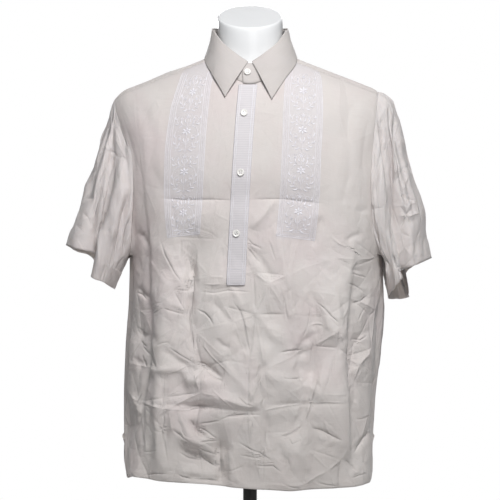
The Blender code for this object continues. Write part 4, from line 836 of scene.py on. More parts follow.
    ("facet seam a", 0.0040, -0.0020, "line", ((-0.1523, 0.5534), (-0.1311, 0.5466), (-0.1101, 0.5414))),
    ("facet seam b", 0.0040, -0.0027, "line", ((-0.1435, 0.4853), (-0.1224, 0.4714), (-0.1014, 0.4591), (-0.0874, 0.4487))),
    ("facet seam c", 0.0040, 0.0022, "line", ((-0.1614, 0.4409), (-0.1401, 0.4397), (-0.1190, 0.4485), (-0.1014, 0.4556))),
    ("cross knot", 0.0040, -0.0045, "line", ((-0.0927, 0.4591), (-0.0804, 0.4558), (-0.0698, 0.4473))),
    ("cross knot tail", 0.0040, -0.0040, "line", ((-0.0768, 0.4420), (-0.0628, 0.4318), (-0.0471, 0.4258))),
    ("low left line", 0.0040, -0.0036, "line", ((-0.1507, 0.4377), (-0.1517, 0.3955), (-0.1508, 0.3570), (-0.1544, 0.3357), (-0.1491, 0.3078), (-0.1438, 0.2798))),
    ("low left tick", 0.0040, -0.0040, "line", ((-0.1580, 0.3391), (-0.1526, 0.3419), (-0.1454, 0.3449))),
    ("low left tick b", 0.0040, -0.0022, "line", ((-0.1930, 0.3806), (-0.1819, 0.3795), (-0.1707, 0.3753))),
    ("press left", 0.0040, 0.0022, "line", ((-0.1580, 0.3768), (-0.1191, 0.3749), (-0.0804, 0.3778), (-0.0419, 0.3829))),
    ("press dark", 0.0040, -0.0032, "line", ((-0.1208, 0.3766), (-0.0945, 0.3759), (-0.0734, 0.3789))),
    ("press main", 0.0040, -0.0045, "line", ((-0.0559, 0.3563), (-0.0384, 0.3644), (-0.0140, 0.3672), (0.0209, 0.3681))),
    ("press under", 0.0040, -0.0036, "line", ((-0.0910, 0.3505), (-0.0699, 0.3534), (-0.0489, 0.3581))),
    ("arrow left", 0.0040, -0.0040, "line", ((-0.1050, 0.3592), (-0.0945, 0.3418), (-0.0822, 0.3226))),
    ("arrow right", 0.0040, -0.0032, "line", ((-0.0945, 0.3470), (-0.0770, 0.3383), (-0.0543, 0.3215))),
    ("dark pool a", 0.0040, -0.0040, "line", ((-0.1348, 0.3398), (-0.1190, 0.3277), (-0.1015, 0.3173))),
    ("dark pool b", 0.0040, -0.0040, "line", ((-0.0892, 0.3183), (-0.0718, 0.3207), (-0.0543, 0.3206))),
    ("dark pool c", 0.0040, -0.0040, "line", ((-0.1190, 0.3102), (-0.0944, 0.3087), (-0.0735, 0.3014), (-0.0543, 0.2961))),
    ("dark pool d", 0.0040, -0.0045, "line", ((-0.0945, 0.2999), (-0.0805, 0.2876), (-0.0665, 0.2805), (-0.0542, 0.2736))),
    ("dark pool e", 0.0040, -0.0040, "line", ((-0.1261, 0.3013), (-0.1085, 0.2892), (-0.0840, 0.2850))),
    ("hem fold line", 0.0040, -0.0045, "line", ((-0.0534, 0.3259), (-0.0525, 0.2944), (-0.0516, 0.2509))),
    ("hem pleat a", 0.0040, -0.0040, "line", ((-0.1262, 0.2606), (-0.1156, 0.2565), (-0.1015, 0.2523))),
    ("hem pleat b", 0.0040, -0.0040, "line", ((-0.0980, 0.2524), (-0.0735, 0.2525), (-0.0455, 0.2492))),
    ("hem crease left", 0.0040, -0.0036, "line", ((-0.1877, 0.2557), (-0.1691, 0.2604), (-0.1439, 0.2628))),
    ("low left cross", 0.0040, -0.0022, "line", ((-0.1931, 0.2962), (-0.1765, 0.2985), (-0.1616, 0.3038))),
    ("placket foot drag", 0.0040, -0.0036, "line", ((-0.0052, 0.6602), (0.0052, 0.6463), (0.0174, 0.6324))),
    ("belly right line", 0.0040, -0.0027, "line", ((0.0504, 0.5959), (0.0592, 0.5680), (0.0662, 0.5296))),
    ("belly right line b", 0.0040, -0.0022, "line", ((0.1065, 0.5607), (0.1030, 0.5258), (0.0926, 0.4977))),
    ("right slant", 0.0040, -0.0036, "line", ((0.1152, 0.5642), (0.1292, 0.5537), (0.1415, 0.5397), (0.1574, 0.5255))),
    ("right short", 0.0040, -0.0032, "line", ((0.1102, 0.4905), (0.1077, 0.4764), (0.1068, 0.4589))),
    ("right dash", 0.0040, -0.0036, "line", ((0.0523, 0.4756), (0.0698, 0.4789), (0.0944, 0.4792))),
    ("right tick a", 0.0040, 0.0022, "line", ((0.1048, 0.5240), (0.1188, 0.5266), (0.1293, 0.5240))),
    ("right edge a", 0.0040, -0.0032, "line", ((0.1737, 0.5497), (0.1729, 0.5146), (0.1757, 0.4898))),
    ("right edge b", 0.0040, -0.0040, "line", ((0.1850, 0.4788), (0.1815, 0.4506), (0.1760, 0.4297), (0.1744, 0.3873))),
    ("right fold a", 0.0040, -0.0040, "line", ((0.1884, 0.5617), (0.2013, 0.5649), (0.2142, 0.5736))),
    ("right fold b", 0.0040, -0.0040, "line", ((0.1868, 0.4964), (0.2016, 0.4941), (0.2184, 0.5023))),
    ("right fold c", 0.0040, -0.0027, "line", ((0.1959, 0.5279), (0.2014, 0.5402), (0.2106, 0.5524))),
    ("right fold d", 0.0040, -0.0027, "line", ((0.1682, 0.5972), (0.1864, 0.5917), (0.2087, 0.5790))),
    ("right fold e", 0.0040, -0.0027, "line", ((0.1754, 0.6147), (0.1937, 0.6092), (0.2123, 0.6055))),
    ("right fold f", 0.0040, 0.0022, "line", ((0.1397, 0.6794), (0.1574, 0.6655), (0.1790, 0.6568), (0.2047, 0.6409))),
    ("right fold g", 0.0040, -0.0036, "line", ((0.1682, 0.6620), (0.1826, 0.6550), (0.1936, 0.6427))),
    ("right fold h", 0.0040, -0.0032, "line", ((0.1887, 0.4874), (0.1851, 0.4646), (0.1759, 0.4404))),
    ("right fold i", 0.0040, -0.0022, "line", ((0.1876, 0.3541), (0.2026, 0.3547), (0.2183, 0.3597))),
    ("sweep line", 0.0040, -0.0040, "line", ((0.1190, 0.4310), (0.1102, 0.4031), (0.1032, 0.3750), (0.0927, 0.3489))),
    ("sweep knot", 0.0040, -0.0045, "line", ((0.0927, 0.3489), (0.0804, 0.3403), (0.0699, 0.3336), (0.0524, 0.3285))),
    ("sweep foot", 0.0040, -0.0027, "line", ((0.0664, 0.3302), (0.0733, 0.3163), (0.0891, 0.3231))),
    ("centre low dash", 0.0040, -0.0036, "line", ((-0.0209, 0.3988), (-0.0070, 0.3865), (0.0070, 0.3830))),
    ("centre ridge", 0.0040, 0.0027, "line", ((-0.0663, 0.4125), (-0.0453, 0.3934), (-0.0244, 0.3742))),
    ("press right a", 0.0040, 0.0027, "line", ((0.0209, 0.3742), (0.0384, 0.3785), (0.0664, 0.3824), (0.0910, 0.3846))),
    ("press right b", 0.0040, 0.0022, "line", ((0.1015, 0.3873), (0.1330, 0.3890), (0.1687, 0.3879))),
    ("star up", 0.0040, -0.0032, "line", ((0.0209, 0.3742), (0.0201, 0.3865), (0.0244, 0.3970))),
    ("low right stem", 0.0040, -0.0032, "line", ((0.0279, 0.3409), (0.0271, 0.3234), (0.0279, 0.3041))),
    ("low right a", 0.0040, -0.0036, "line", ((-0.0210, 0.3197), (0.0000, 0.3076), (0.0175, 0.3006), (0.0384, 0.2866))),
    ("low right b", 0.0040, -0.0032, "line", ((0.0070, 0.2795), (0.0245, 0.2777), (0.0402, 0.2779), (0.0559, 0.2658))),
    ("low right c", 0.0040, -0.0027, "line", ((-0.0175, 0.2969), (0.0035, 0.2935), (0.0244, 0.2900))),
    ("lower slant", 0.0040, -0.0040, "line", ((0.1084, 0.3437), (0.1260, 0.3382), (0.1437, 0.3291), (0.1634, 0.3194))),
    ("corner slant a", 0.0040, -0.0032, "line", ((0.1637, 0.2888), (0.1749, 0.2770), (0.1878, 0.2617))),
    ("corner slash", 0.0040, -0.0045, "line", ((0.1823, 0.2958), (0.1971, 0.3087), (0.2085, 0.3200), (0.2186, 0.3307))),
    ("corner b", 0.0040, -0.0036, "line", ((0.1767, 0.2522), (0.1915, 0.2560), (0.2068, 0.2575))),
    ("hem right dash", 0.0040, -0.0027, "line", ((0.0559, 0.2480), (0.0699, 0.2427), (0.0874, 0.2372))),
    ("hem right dash b", 0.0040, -0.0027, "line", ((0.1156, 0.2485), (0.1334, 0.2426), (0.1584, 0.2395))),
    ("low sweep a", 0.0040, -0.0022, "line", ((-0.0437, 0.2668), (-0.0280, 0.2706), (-0.0105, 0.2777))),
    ("mid tick", 0.0040, -0.0027, "line", ((0.0105, 0.4320), (0.0157, 0.4443), (0.0174, 0.4565))),
    ("mid tick b", 0.0040, -0.0022, "line", ((0.0523, 0.4319), (0.0734, 0.4296), (0.0945, 0.4310))),
    ("mid v", 0.0040, -0.0022, "line", ((-0.1399, 0.4941), (-0.1542, 0.4921), (-0.1649, 0.4865))),
    ("left tick", 0.0040, -0.0022, "line", ((-0.1764, 0.5562), (-0.1650, 0.5602), (-0.1541, 0.5639))),
    ("left tick b", 0.0040, -0.0022, "line", ((-0.1726, 0.5423), (-0.1613, 0.5481), (-0.1523, 0.5534))),
    ("chest line left", 0.0040, -0.0025, "line", ((-0.1580, 0.7454), (-0.1117, 0.7422), (-0.0679, 0.7429), (-0.0244, 0.7411))),
    ("chest line right", 0.0040, -0.0022, "line", ((0.0000, 0.7428), (0.0574, 0.7437), (0.0923, 0.7395), (0.1327, 0.7362))),
    ("band corner", 0.0040, -0.0012, "line", ((-0.0871, 0.7177), (-0.0940, 0.6968), (-0.1012, 0.6725))),
    ("placket cross a", 0.0040, -0.0027, "line", ((-0.0052, 0.6758), (0.0035, 0.6654), (0.0208, 0.6567))),
    ("upper right line", 0.0040, -0.0018, "line", ((0.0452, 0.6341), (0.0382, 0.6550), (0.0313, 0.6758))),
    ("pool top", 0.0100, 0.0046, "soft", ((-0.1191, 0.4256), (-0.0909, 0.4279), (-0.0628, 0.4248))),
    ("pool foot", 0.0100, -0.0046, "soft", ((-0.1226, 0.3766), (-0.0875, 0.3785), (-0.0488, 0.3881))),
    ("drag facet ridge", 0.0080, 0.0014, "soft", ((-0.1617, 0.6726), (-0.1364, 0.6235), (-0.1153, 0.5921))),
    ("drag facet valley", 0.0080, -0.0042, "soft", ((-0.1048, 0.6655), (-0.1013, 0.6201), (-0.0996, 0.5816))),
    ("small facet ridge", 0.0060, 0.0020, "soft", ((-0.1399, 0.5886), (-0.1258, 0.5606), (-0.1118, 0.5397))),
    ("small facet valley", 0.0060, -0.0026, "soft", ((-0.1013, 0.5781), (-0.1048, 0.5572), (-0.1083, 0.5362))),
    ("left strip turn", 0.0260, -0.0052, "ramp", ((-0.1837, 0.7257), (-0.1774, 0.6585), (-0.1754, 0.5492), (-0.1762, 0.4435), (-0.1865, 0.3862), (-0.1885, 0.3188), (-0.1886, 0.2512))),
    ("right strip turn", 0.0300, -0.0030, "ramp", ((0.1748, 0.2523), (0.1755, 0.3375), (0.1741, 0.4263), (0.1756, 0.5145), (0.1792, 0.5847), (0.1881, 0.6726))),
    ("pool low top", 0.0100, 0.0042, "soft", ((-0.1260, 0.3294), (-0.0910, 0.3226), (-0.0560, 0.3223))),
    ("pool low", 0.0140, -0.0044, "soft", ((-0.1191, 0.2873), (-0.0840, 0.2789), (-0.0577, 0.2700))),
    ("hem tuck", 0.0070, -0.0034, "soft", ((-0.1227, 0.2589), (-0.0875, 0.2544), (-0.0560, 0.2525))),
)
LEFT_SLEEVE_CREASES = (
    # name, width, height, kind, points (x, z)
    ("outer valley", 0.0055, -0.0030, "sharp", ((-0.2571, 0.8824), (-0.2682, 0.8386), (-0.2814, 0.7876), (-0.2945, 0.7520))),
    ("outer tick", 0.0035, -0.0016, "sharp", ((-0.3012, 0.7506), (-0.2893, 0.7488), (-0.2798, 0.7512))),
    ("outer ridge", 0.0080, 0.0018, "soft", ((-0.2481, 0.8923), (-0.2577, 0.8411), (-0.2694, 0.7870), (-0.2815, 0.7441))),
    ("flap valley", 0.0060, -0.0042, "sharp", ((-0.2523, 0.8160), (-0.2624, 0.7728), (-0.2710, 0.7299), (-0.2748, 0.6871), (-0.2741, 0.6444))),
    ("lap ridge", 0.0090, 0.0030, "soft", ((-0.2367, 0.8845), (-0.2338, 0.8335), (-0.2303, 0.7613))),
    ("lap line", 0.0050, 0.0030, "sharp", ((-0.2611, 0.7337), (-0.2623, 0.6869), (-0.2698, 0.6088))),
    ("middle fold", 0.0070, -0.0022, "sharp", ((-0.2459, 0.8812), (-0.2471, 0.8341), (-0.2507, 0.7947))),
    ("third fold", 0.0080, -0.0036, "sharp", ((-0.2112, 0.7650), (-0.2255, 0.7189), (-0.2382, 0.6621), (-0.2428, 0.6229))),
    ("third ridge", 0.0080, 0.0045, "soft", ((-0.2182, 0.7792), (-0.2356, 0.7188), (-0.2484, 0.6621))),
    ("inner pull", 0.0060, -0.0040, "sharp", ((-0.2116, 0.7190), (-0.2189, 0.6870), (-0.2255, 0.6443))),
    ("flap crease", 0.0050, -0.0016, "sharp", ((-0.3005, 0.7230), (-0.2885, 0.7120), (-0.2815, 0.6942))),
    ("cap pull", 0.0060, -0.0024, "sharp", ((-0.2273, 0.8982), (-0.2327, 0.8766), (-0.2171, 0.8330))),
)
RIGHT_SLEEVE_CREASES = (
    # name, width, height, kind, points (x, z)
    ("pipe one", 0.0050, -0.0046, "sharp", ((0.2467, 0.9179), (0.2513, 0.8661), (0.2525, 0.8121), (0.2523, 0.7584), (0.2549, 0.7014), (0.2533, 0.6426))),
    ("pipe two", 0.0050, -0.0040, "sharp", ((0.2583, 0.9151), (0.2602, 0.8704), (0.2627, 0.8230), (0.2709, 0.7619), (0.2815, 0.7227))),
    ("pipe ridge", 0.0060, 0.0024, "soft", ((0.2522, 0.9144), (0.2562, 0.8664), (0.2579, 0.8156), (0.2620, 0.7619))),
    ("inner line", 0.0045, -0.0018, "sharp", ((0.2349, 0.9060), (0.2325, 0.8517), (0.2268, 0.7932), (0.2179, 0.7329))),
    ("diagonal", 0.0060, -0.0040, "sharp", ((0.2515, 0.6479), (0.2604, 0.6267), (0.2834, 0.6087))),
    ("star a", 0.0050, -0.0030, "sharp", ((0.2672, 0.7334), (0.2778, 0.7191), (0.2904, 0.6978))),
    ("star b", 0.0050, -0.0026, "sharp", ((0.2895, 0.7301), (0.2759, 0.7155), (0.2674, 0.6942))),
    ("star c", 0.0050, 0.0024, "sharp", ((0.2638, 0.7156), (0.2814, 0.7138), (0.3032, 0.7214))),
    ("cross", 0.0050, -0.0012, "sharp", ((0.1991, 0.7290), (0.2196, 0.7276), (0.2387, 0.7310))),
    ("outer tick", 0.0045, -0.0014, "sharp", ((0.3197, 0.6839), (0.3138, 0.6622), (0.3173, 0.6371))),
    ("flap fall", 0.0060, 0.0030, "soft", ((0.2832, 0.6942), (0.2884, 0.6621), (0.2867, 0.6301))),
    ("lap pull", 0.0060, -0.0034, "sharp", ((0.2233, 0.6940), (0.2326, 0.6586), (0.2429, 0.6157))),
    ("outer sweep", 0.0080, -0.0030, "soft", ((0.2779, 0.8535), (0.2921, 0.7992), (0.2999, 0.7448))),
)

BACK_CREASES = (
    # name, width, height, kind, points (x, z)
    ("pressed line", 0.0050, -0.0022, "sharp", ((-0.165, 0.742), (-0.060, 0.745), (0.050, 0.741), (0.158, 0.738))),
    ("low pressed line", 0.0050, -0.0026, "sharp", ((-0.180, 0.386), (-0.070, 0.381), (0.040, 0.388), (0.170, 0.382))),
    ("blade pull left", 0.0150, -0.0026, "soft", ((-0.150, 0.870), (-0.128, 0.790), (-0.120, 0.700))),
    ("blade pull right", 0.0150, -0.0024, "soft", ((0.146, 0.868), (0.120, 0.800), (0.118, 0.690))),
    ("blade ridge left", 0.0100, 0.0030, "soft", ((-0.105, 0.850), (-0.090, 0.740), (-0.085, 0.640))),
    ("blade ridge right", 0.0100, 0.0028, "soft", ((0.090, 0.860), (0.082, 0.750), (0.088, 0.660))),
    ("centre drop", 0.0090, -0.0036, "sharp", ((-0.020, 0.700), (-0.030, 0.580), (-0.022, 0.450))),
    ("waist slash a", 0.0080, -0.0040, "sharp", ((-0.150, 0.560), (-0.100, 0.520), (-0.060, 0.455))),
    ("waist slash b", 0.0080, 0.0034, "sharp", ((-0.120, 0.600), (-0.070, 0.540), (-0.028, 0.500))),
    ("waist slash c", 0.0080, -0.0036, "sharp", ((0.150, 0.590), (0.110, 0.540), (0.050, 0.500))),
    ("waist slash d", 0.0080, 0.0032, "sharp", ((0.170, 0.540), (0.120, 0.490), (0.070, 0.470))),
    ("star down", 0.0055, -0.0028, "sharp", ((0.050, 0.385), (0.056, 0.350), (0.053, 0.310))),
    ("star up", 0.0060, 0.0028, "sharp", ((0.048, 0.392), (0.030, 0.430), (0.002, 0.455))),
    ("low fold a", 0.0090, -0.0040, "sharp", ((-0.110, 0.350), (-0.070, 0.310), (-0.040, 0.290))),
    ("low fold b", 0.0090, 0.0034, "sharp", ((-0.130, 0.320), (-0.100, 0.280), (-0.090, 0.245))),
    ("low fold c", 0.0080, -0.0036, "sharp", ((0.110, 0.360), (0.128, 0.310), (0.120, 0.260))),
    ("left upright", 0.0080, -0.0034, "sharp", ((-0.152, 0.450), (-0.150, 0.370), (-0.153, 0.300))),
    ("left fold edge", 0.0220, -0.0040, "step", ((-0.170, 0.700), (-0.168, 0.560), (-0.172, 0.420), (-0.168, 0.250))),
    ("right fold edge", 0.0220, -0.0034, "step", ((0.172, 0.250), (0.170, 0.400), (0.174, 0.560), (0.178, 0.690))),
    ("hem pleat", 0.0070, -0.0040, "sharp", ((0.012, 0.330), (0.010, 0.280), (0.012, 0.228))),
)
SLEEVE_BACK_CREASES = {  # on the hidden half of each sleeve: x is measured outwards from the body
    "sleeve_left": (
        ("back pipe", 0.0060, -0.0060, "sharp", ((-0.252, 0.880), (-0.262, 0.780), (-0.268, 0.650))),
        ("back ridge", 0.0080, 0.0040, "soft", ((-0.262, 0.880), (-0.274, 0.780), (-0.284, 0.660))),
        ("outer back valley", 0.0060, -0.0050, "sharp", ((-0.270, 0.850), (-0.288, 0.760), (-0.300, 0.690))),
        ("back slash", 0.0050, -0.0030, "sharp", ((-0.290, 0.730), (-0.276, 0.712), (-0.258, 0.704))),
        ("back cross", 0.0050, -0.0026, "sharp", ((-0.262, 0.700), (-0.276, 0.680), (-0.290, 0.676))),
    ),
    "sleeve_right": (
        ("back pipe", 0.0060, -0.0064, "sharp", ((0.250, 0.880), (0.256, 0.770), (0.262, 0.640))),
        ("back ridge", 0.0080, 0.0040, "soft", ((0.262, 0.880), (0.272, 0.770), (0.280, 0.650))),
        ("outer back valley", 0.0060, -0.0050, "sharp", ((0.270, 0.850), (0.286, 0.750), (0.296, 0.680))),
        ("back slash", 0.0050, -0.0030, "sharp", ((0.292, 0.724), (0.276, 0.706), (0.260, 0.700))),
        ("back cross", 0.0050, -0.0024, "sharp", ((0.266, 0.690), (0.280, 0.672), (0.294, 0.668))),
    ),
}

# how crumpled each piece is: spacing of the flat facets between creases and how far their corners stand in or out
FACETS = {
    # piece: (seed, then spacing and height of three layers of facets)
    "front": (11, (0.066, 0.0072), (0.036, 0.0054), (0.019, 0.0018)),
    "back": (23, (0.068, 0.0072), (0.038, 0.0054), (0.021, 0.0018)),
    "yoke": (31, (0.050, 0.0026), (0.024, 0.0008)),
    "sleeve_left": (41, (0.052, 0.0055), (0.030, 0.0026), (0.016, 0.0010)),
    "sleeve_right": (43, (0.052, 0.0055), (0.030, 0.0026), (0.016, 0.0010)),
}
# share of that crumple by height on the body: the chest hangs smooth and the lower half is crushed
CRUMPLE_BY_Z = (
    # z, share
    (0.20, 0.85),
    (0.30, 1.00),
    (0.45, 1.00),
    (0.58, 0.75),
    (0.68, 0.42),
    (0.78, 0.22),
    (1.05, 0.16),
)

# edges of the embroidered bands on the chest
BANDS = {
    "left": {
        "outer": ((0.9781, -0.1185), (0.9660, -0.1233), (0.9446, -0.1294), (0.9076, -0.1395), (0.8609, -0.1461), (0.8270, -0.1492),
                  (0.7584, -0.1507), (0.7163, -0.1489), (0.6700, -0.1440)),
        "inner": ((0.9781, -0.0620), (0.9660, -0.0655), (0.9428, -0.0698), (0.9061, -0.0732), (0.8595, -0.0769), (0.8259, -0.0788),
                  (0.7578, -0.0824), (0.7159, -0.0850), (0.6700, -0.0885)),
        "top": 0.972, "bottom": 0.6795, "tilt": 0.0035,
    },
    "right": {
        "inner": ((0.9796, 0.0660), (0.9600, 0.0638), (0.9427, 0.0611), (0.9060, 0.0590), (0.8593, 0.0573), (0.8257, 0.0558),
                  (0.7576, 0.0527), (0.7158, 0.0492), (0.6650, 0.0440)),
        "outer": ((0.9796, 0.1225), (0.9621, 0.1268), (0.9446, 0.1279), (0.9072, 0.1287), (0.8603, 0.1267), (0.8265, 0.1242),
                  (0.7580, 0.1219), (0.7160, 0.1186), (0.6650, 0.1125)),
        "top": 0.974, "bottom": 0.6750, "tilt": 0.0045,
    },
}

THIN = 0.0007             # wall of the shown cloth
HEM_BAND, SLEEVE_BAND = 0.0110, 0.0330
DEPTH_OF_HEM = 0.0009     # how much a turned hem stands proud



# ------------------------------------------------------------------ crumple and creases
CREASE_DEPTH, CREASE_NARROW = 1.50, 0.70
BODY_TALL, SLEEVE_TALL = 2.0, 1.25   # height of a facet for each metre of its width
FOLD_BY_TURN = 0.015      # how much an edge between facets stands out for each radian that it turns


def facet_net(points, seed, spacing, height, wrap=None, tall=SLEEVE_TALL):
    """Random corners over a sheet with a level each, and the flat triangles between them."""
    rng = random.Random(seed)
    low, high = points.reshape(-1, 2).min(0) - 2 * spacing, points.reshape(-1, 2).max(0) + 2 * spacing
    corners, levels = [], []
    if wrap:
        low[0], high[0] = 0.0, wrap
    nx, nz = max(int((high[0] - low[0]) / spacing), 3), max(int((high[1] - low[1]) / (spacing * tall)), 3)
    for i in range(nx):
        for j in range(nz):
            x = low[0] + (i + 0.5 * (j % 2) + rng.uniform(-0.42, 0.42)) * (high[0] - low[0]) / nx
            z = low[1] + (j + rng.uniform(-0.42, 0.42)) * (high[1] - low[1]) / nz
            h = rng.gauss(0, 0.5) * height
            for copy in ((-wrap, 0, wrap) if wrap else (0,)):
                corners.append(Vector((x + copy, z)))
                levels.append(h)
    verts, _, faces, orig, _, _ = delaunay_2d_cdt(corners, [], [], 0, 1e-7)
    return verts, faces, [levels[o[0]] if o else 0.0 for o in orig]


def facets(points, seed, spacing, height, wrap=None, tall=SLEEVE_TALL):
    """Heights of a crumpled sheet: flat triangles between random corners, so that they meet in creases."""
    verts, faces, at = facet_net(points, seed, spacing, height, wrap, tall)
    tree = BVHTree.FromPolygons([(v.x, v.y, h) for v, h in zip(verts, at)], [tuple(f) for f in faces])
    flat = points.reshape(-1, 2)
    out = np.zeros(len(flat))
    down = Vector((0, 0, -1))
    for k in range(len(flat)):
        hit = tree.ray_cast(Vector((flat[k, 0], flat[k, 1], 1.0)), down)[0]
        out[k] = hit.z if hit else 0.0
    return out.reshape(points.shape[:2])


def facet_folds(points, seed, spacing, height, wrap=None, tall=BODY_TALL):
    """Lines along the edges between facets, which stand out as much as the sheet bends there."""
    verts, faces, at = facet_net(points, seed, spacing, height, wrap, tall)
    corner = np.array([(v[0], v[1], h) for v, h in zip(verts, at)])
    slopes, middles, sides = [], [], {}
    for f, face in enumerate(faces):
        p = corner[list(face)]
        slopes.append(np.linalg.lstsq(p[1:, :2] - p[0, :2], p[1:, 2] - p[0, 2], rcond=None)[0])
        middles.append(p[:, :2].mean(0))
        for k in range(len(face)):
            sides.setdefault(frozenset((face[k], face[k - 1])), []).append(f)
    rows = []
    for edge, pair in sides.items():
        if len(pair) == 2:
            a, b = (corner[i, :2] for i in sorted(edge))
            across = np.array(((b - a)[1], (a - b)[0])) / np.linalg.norm(b - a)
            turn = (slopes[pair[1]] - slopes[pair[0]]) @ across * np.sign((middles[pair[1]] - middles[pair[0]]) @ across)
            rows.append(("edge", 0.0, -turn * FOLD_BY_TURN, "line", (a, b)))
    return rows


def layers(name, flat, wrap=None):
    """All layers of facets of a piece."""
    seed, *kinds = FACETS[name]
    tall = SLEEVE_TALL if wrap else BODY_TALL
    return sum(facets(flat, seed + i, spacing, height, wrap, tall) for i, (spacing, height) in enumerate(kinds))


def blur(field, times, closed=False):
    """A field of grid values smoothed a little, so that creases aren't knife sharp."""
    for _ in range(times):
        side = np.pad(field, ((1, 1), (0, 0)), mode="edge")
        field = (side[:-2] + 2 * side[1:-1] + side[2:]) / 4
        side = np.pad(field, ((0, 0), (1, 1)), mode="wrap" if closed else "edge")
        field = (side[:, :-2] + 2 * side[:, 1:-1] + side[:, 2:]) / 4
    return field


def creases(points, table):
    """Heights that the listed creases give at points (x, z). A step falls sharply on its left side and slowly recovers,
    and a ramp keeps falling.
    """
    total = np.zeros(points.shape[:-1])
    for _, width, height, kind, line in table:
        if kind == "line":
            continue
        line = np.array(line)
        width = width * (CREASE_NARROW if kind == "sharp" else 1.0)
        length = np.concatenate([[0], np.cumsum(np.linalg.norm(np.diff(line, axis=0), axis=1))])
        best, along, side = np.full(total.shape, 1e9), np.zeros(total.shape), np.ones(total.shape)
        for k in range(len(line) - 1):
            a, d = line[k], line[k + 1] - line[k]
            size = np.linalg.norm(d)
            t = np.clip(((points - a) @ d) / size**2, 0, 1)
            away = points - a - t[..., None] * d
            far = np.linalg.norm(away, axis=-1)
            nearer = far < best
            best = np.where(nearer, far, best)
            along = np.where(nearer, length[k] + t * size, along)
            side = np.where(nearer, np.sign(d[0] * away[..., 1] - d[1] * away[..., 0]), side)
        share = along / length[-1]
        fade = np.clip(np.minimum(share, 1 - share) * 3.2 + 0.12, 0, 1)
        fade = fade * fade * (3 - 2 * fade)
        if kind == "soft":
            shape = np.exp(-((best / width) ** 2))
        elif kind == "sharp":
            e = 0.0014
            shape = np.exp(-(np.sqrt(best**2 + e**2) - e) / width)
        elif kind == "ramp":
            shape = np.clip(best * -side / width, 0, 1)
        else:
            signed = best * -side
            fall = 1 / (1 + np.exp(-np.clip(signed / 0.0016, -30, 30)))
            shape = fall * np.exp(-np.maximum(signed, 0) / width)
        total += CREASE_DEPTH * height * shape * fade
    return total


def crease_lines(points, table):
    """Signed distance to the nearest folded line of a table and how far it stands in or out, for the cloth's bump."""
    nearest, signed, height = np.full(points.shape[:-1], 1e9), np.full(points.shape[:-1], 0.05), np.zeros(points.shape[:-1])
    drawn = any(row[3] == "line" for row in table)
    for _, width, rise, kind, line in table:
        if kind != ("line" if drawn else "sharp"):
            continue
        line = np.array(line)
        length = np.concatenate([[0], np.cumsum(np.linalg.norm(np.diff(line, axis=0), axis=1))])
        for k in range(len(line) - 1):
            a, d = line[k], line[k + 1] - line[k]
            size = np.linalg.norm(d)
            run = ((points - a) @ d) / size
            t = np.clip(run, 0, size)
            away = points - a - (t / size)[..., None] * d
            far = np.linalg.norm(away, axis=-1)
            share = (length[k] + t) / length[-1]
            fade = np.clip(np.minimum(share, 1 - share) * 4.0, 0, 1)
            here = far < nearest
            nearest = np.where(here, far, nearest)
            signed = np.where(here, far * np.sign(d[0] * away[..., 1] - d[1] * away[..., 0]), signed)
            height = np.where(here, np.sign(rise) * min(1.0, abs(rise) / 0.0045) * fade * np.clip(2.2 - far / 0.0032, 0, 1), height)
    return {"crease_at": np.clip(signed, -0.02, 0.02), "crease_by": height}


def arc(grid, axis):
    """Distance run along the grid's rows (axis 1) or columns (axis 0)."""
    d = np.linalg.norm(np.diff(grid, axis=axis), axis=-1)
    zero = np.zeros_like(d[:, :1]) if axis == 1 else np.zeros_like(d[:1])
    return np.concatenate([zero, np.cumsum(d, axis=axis)], axis=axis)


def facing(grid, closed=False, inside=None):
    """Unit normals of a grid that point out of the object."""
    n = normals(grid, closed)
    centre = grid.reshape(-1, 3).mean(0) if inside is None else np.asarray(inside, float)
    return n * (1.0 if ((grid - centre) * n).sum() > 0 else -1.0)


# ------------------------------------------------------------------ meshes
def mesh_object(name, verts, faces, material, uv=None, masks=None, smooth_shaded=True):
    """uv is given for each corner of each face, and masks for each vertex."""
    mesh = bpy.data.meshes.new(name)
    mesh.from_pydata(verts.tolist() if isinstance(verts, np.ndarray) else verts, [], faces.tolist() if isinstance(faces, np.ndarray) else faces)
    if uv is not None:
        layer = mesh.uv_layers.new(name="cloth")
        layer.data.foreach_set("uv", np.asarray(uv, np.float32).ravel())
    for key, values in (masks or {}).items():
        layer = mesh.attributes.new(key, "FLOAT", "POINT")
        layer.data.foreach_set("value", np.asarray(values, np.float32).ravel())
    mesh.polygons.foreach_set("use_smooth", [smooth_shaded] * len(mesh.polygons))
    obj = bpy.data.objects.new(name, mesh)
    bpy.context.scene.collection.objects.link(obj)
    mesh.materials.append(material)
    return obj


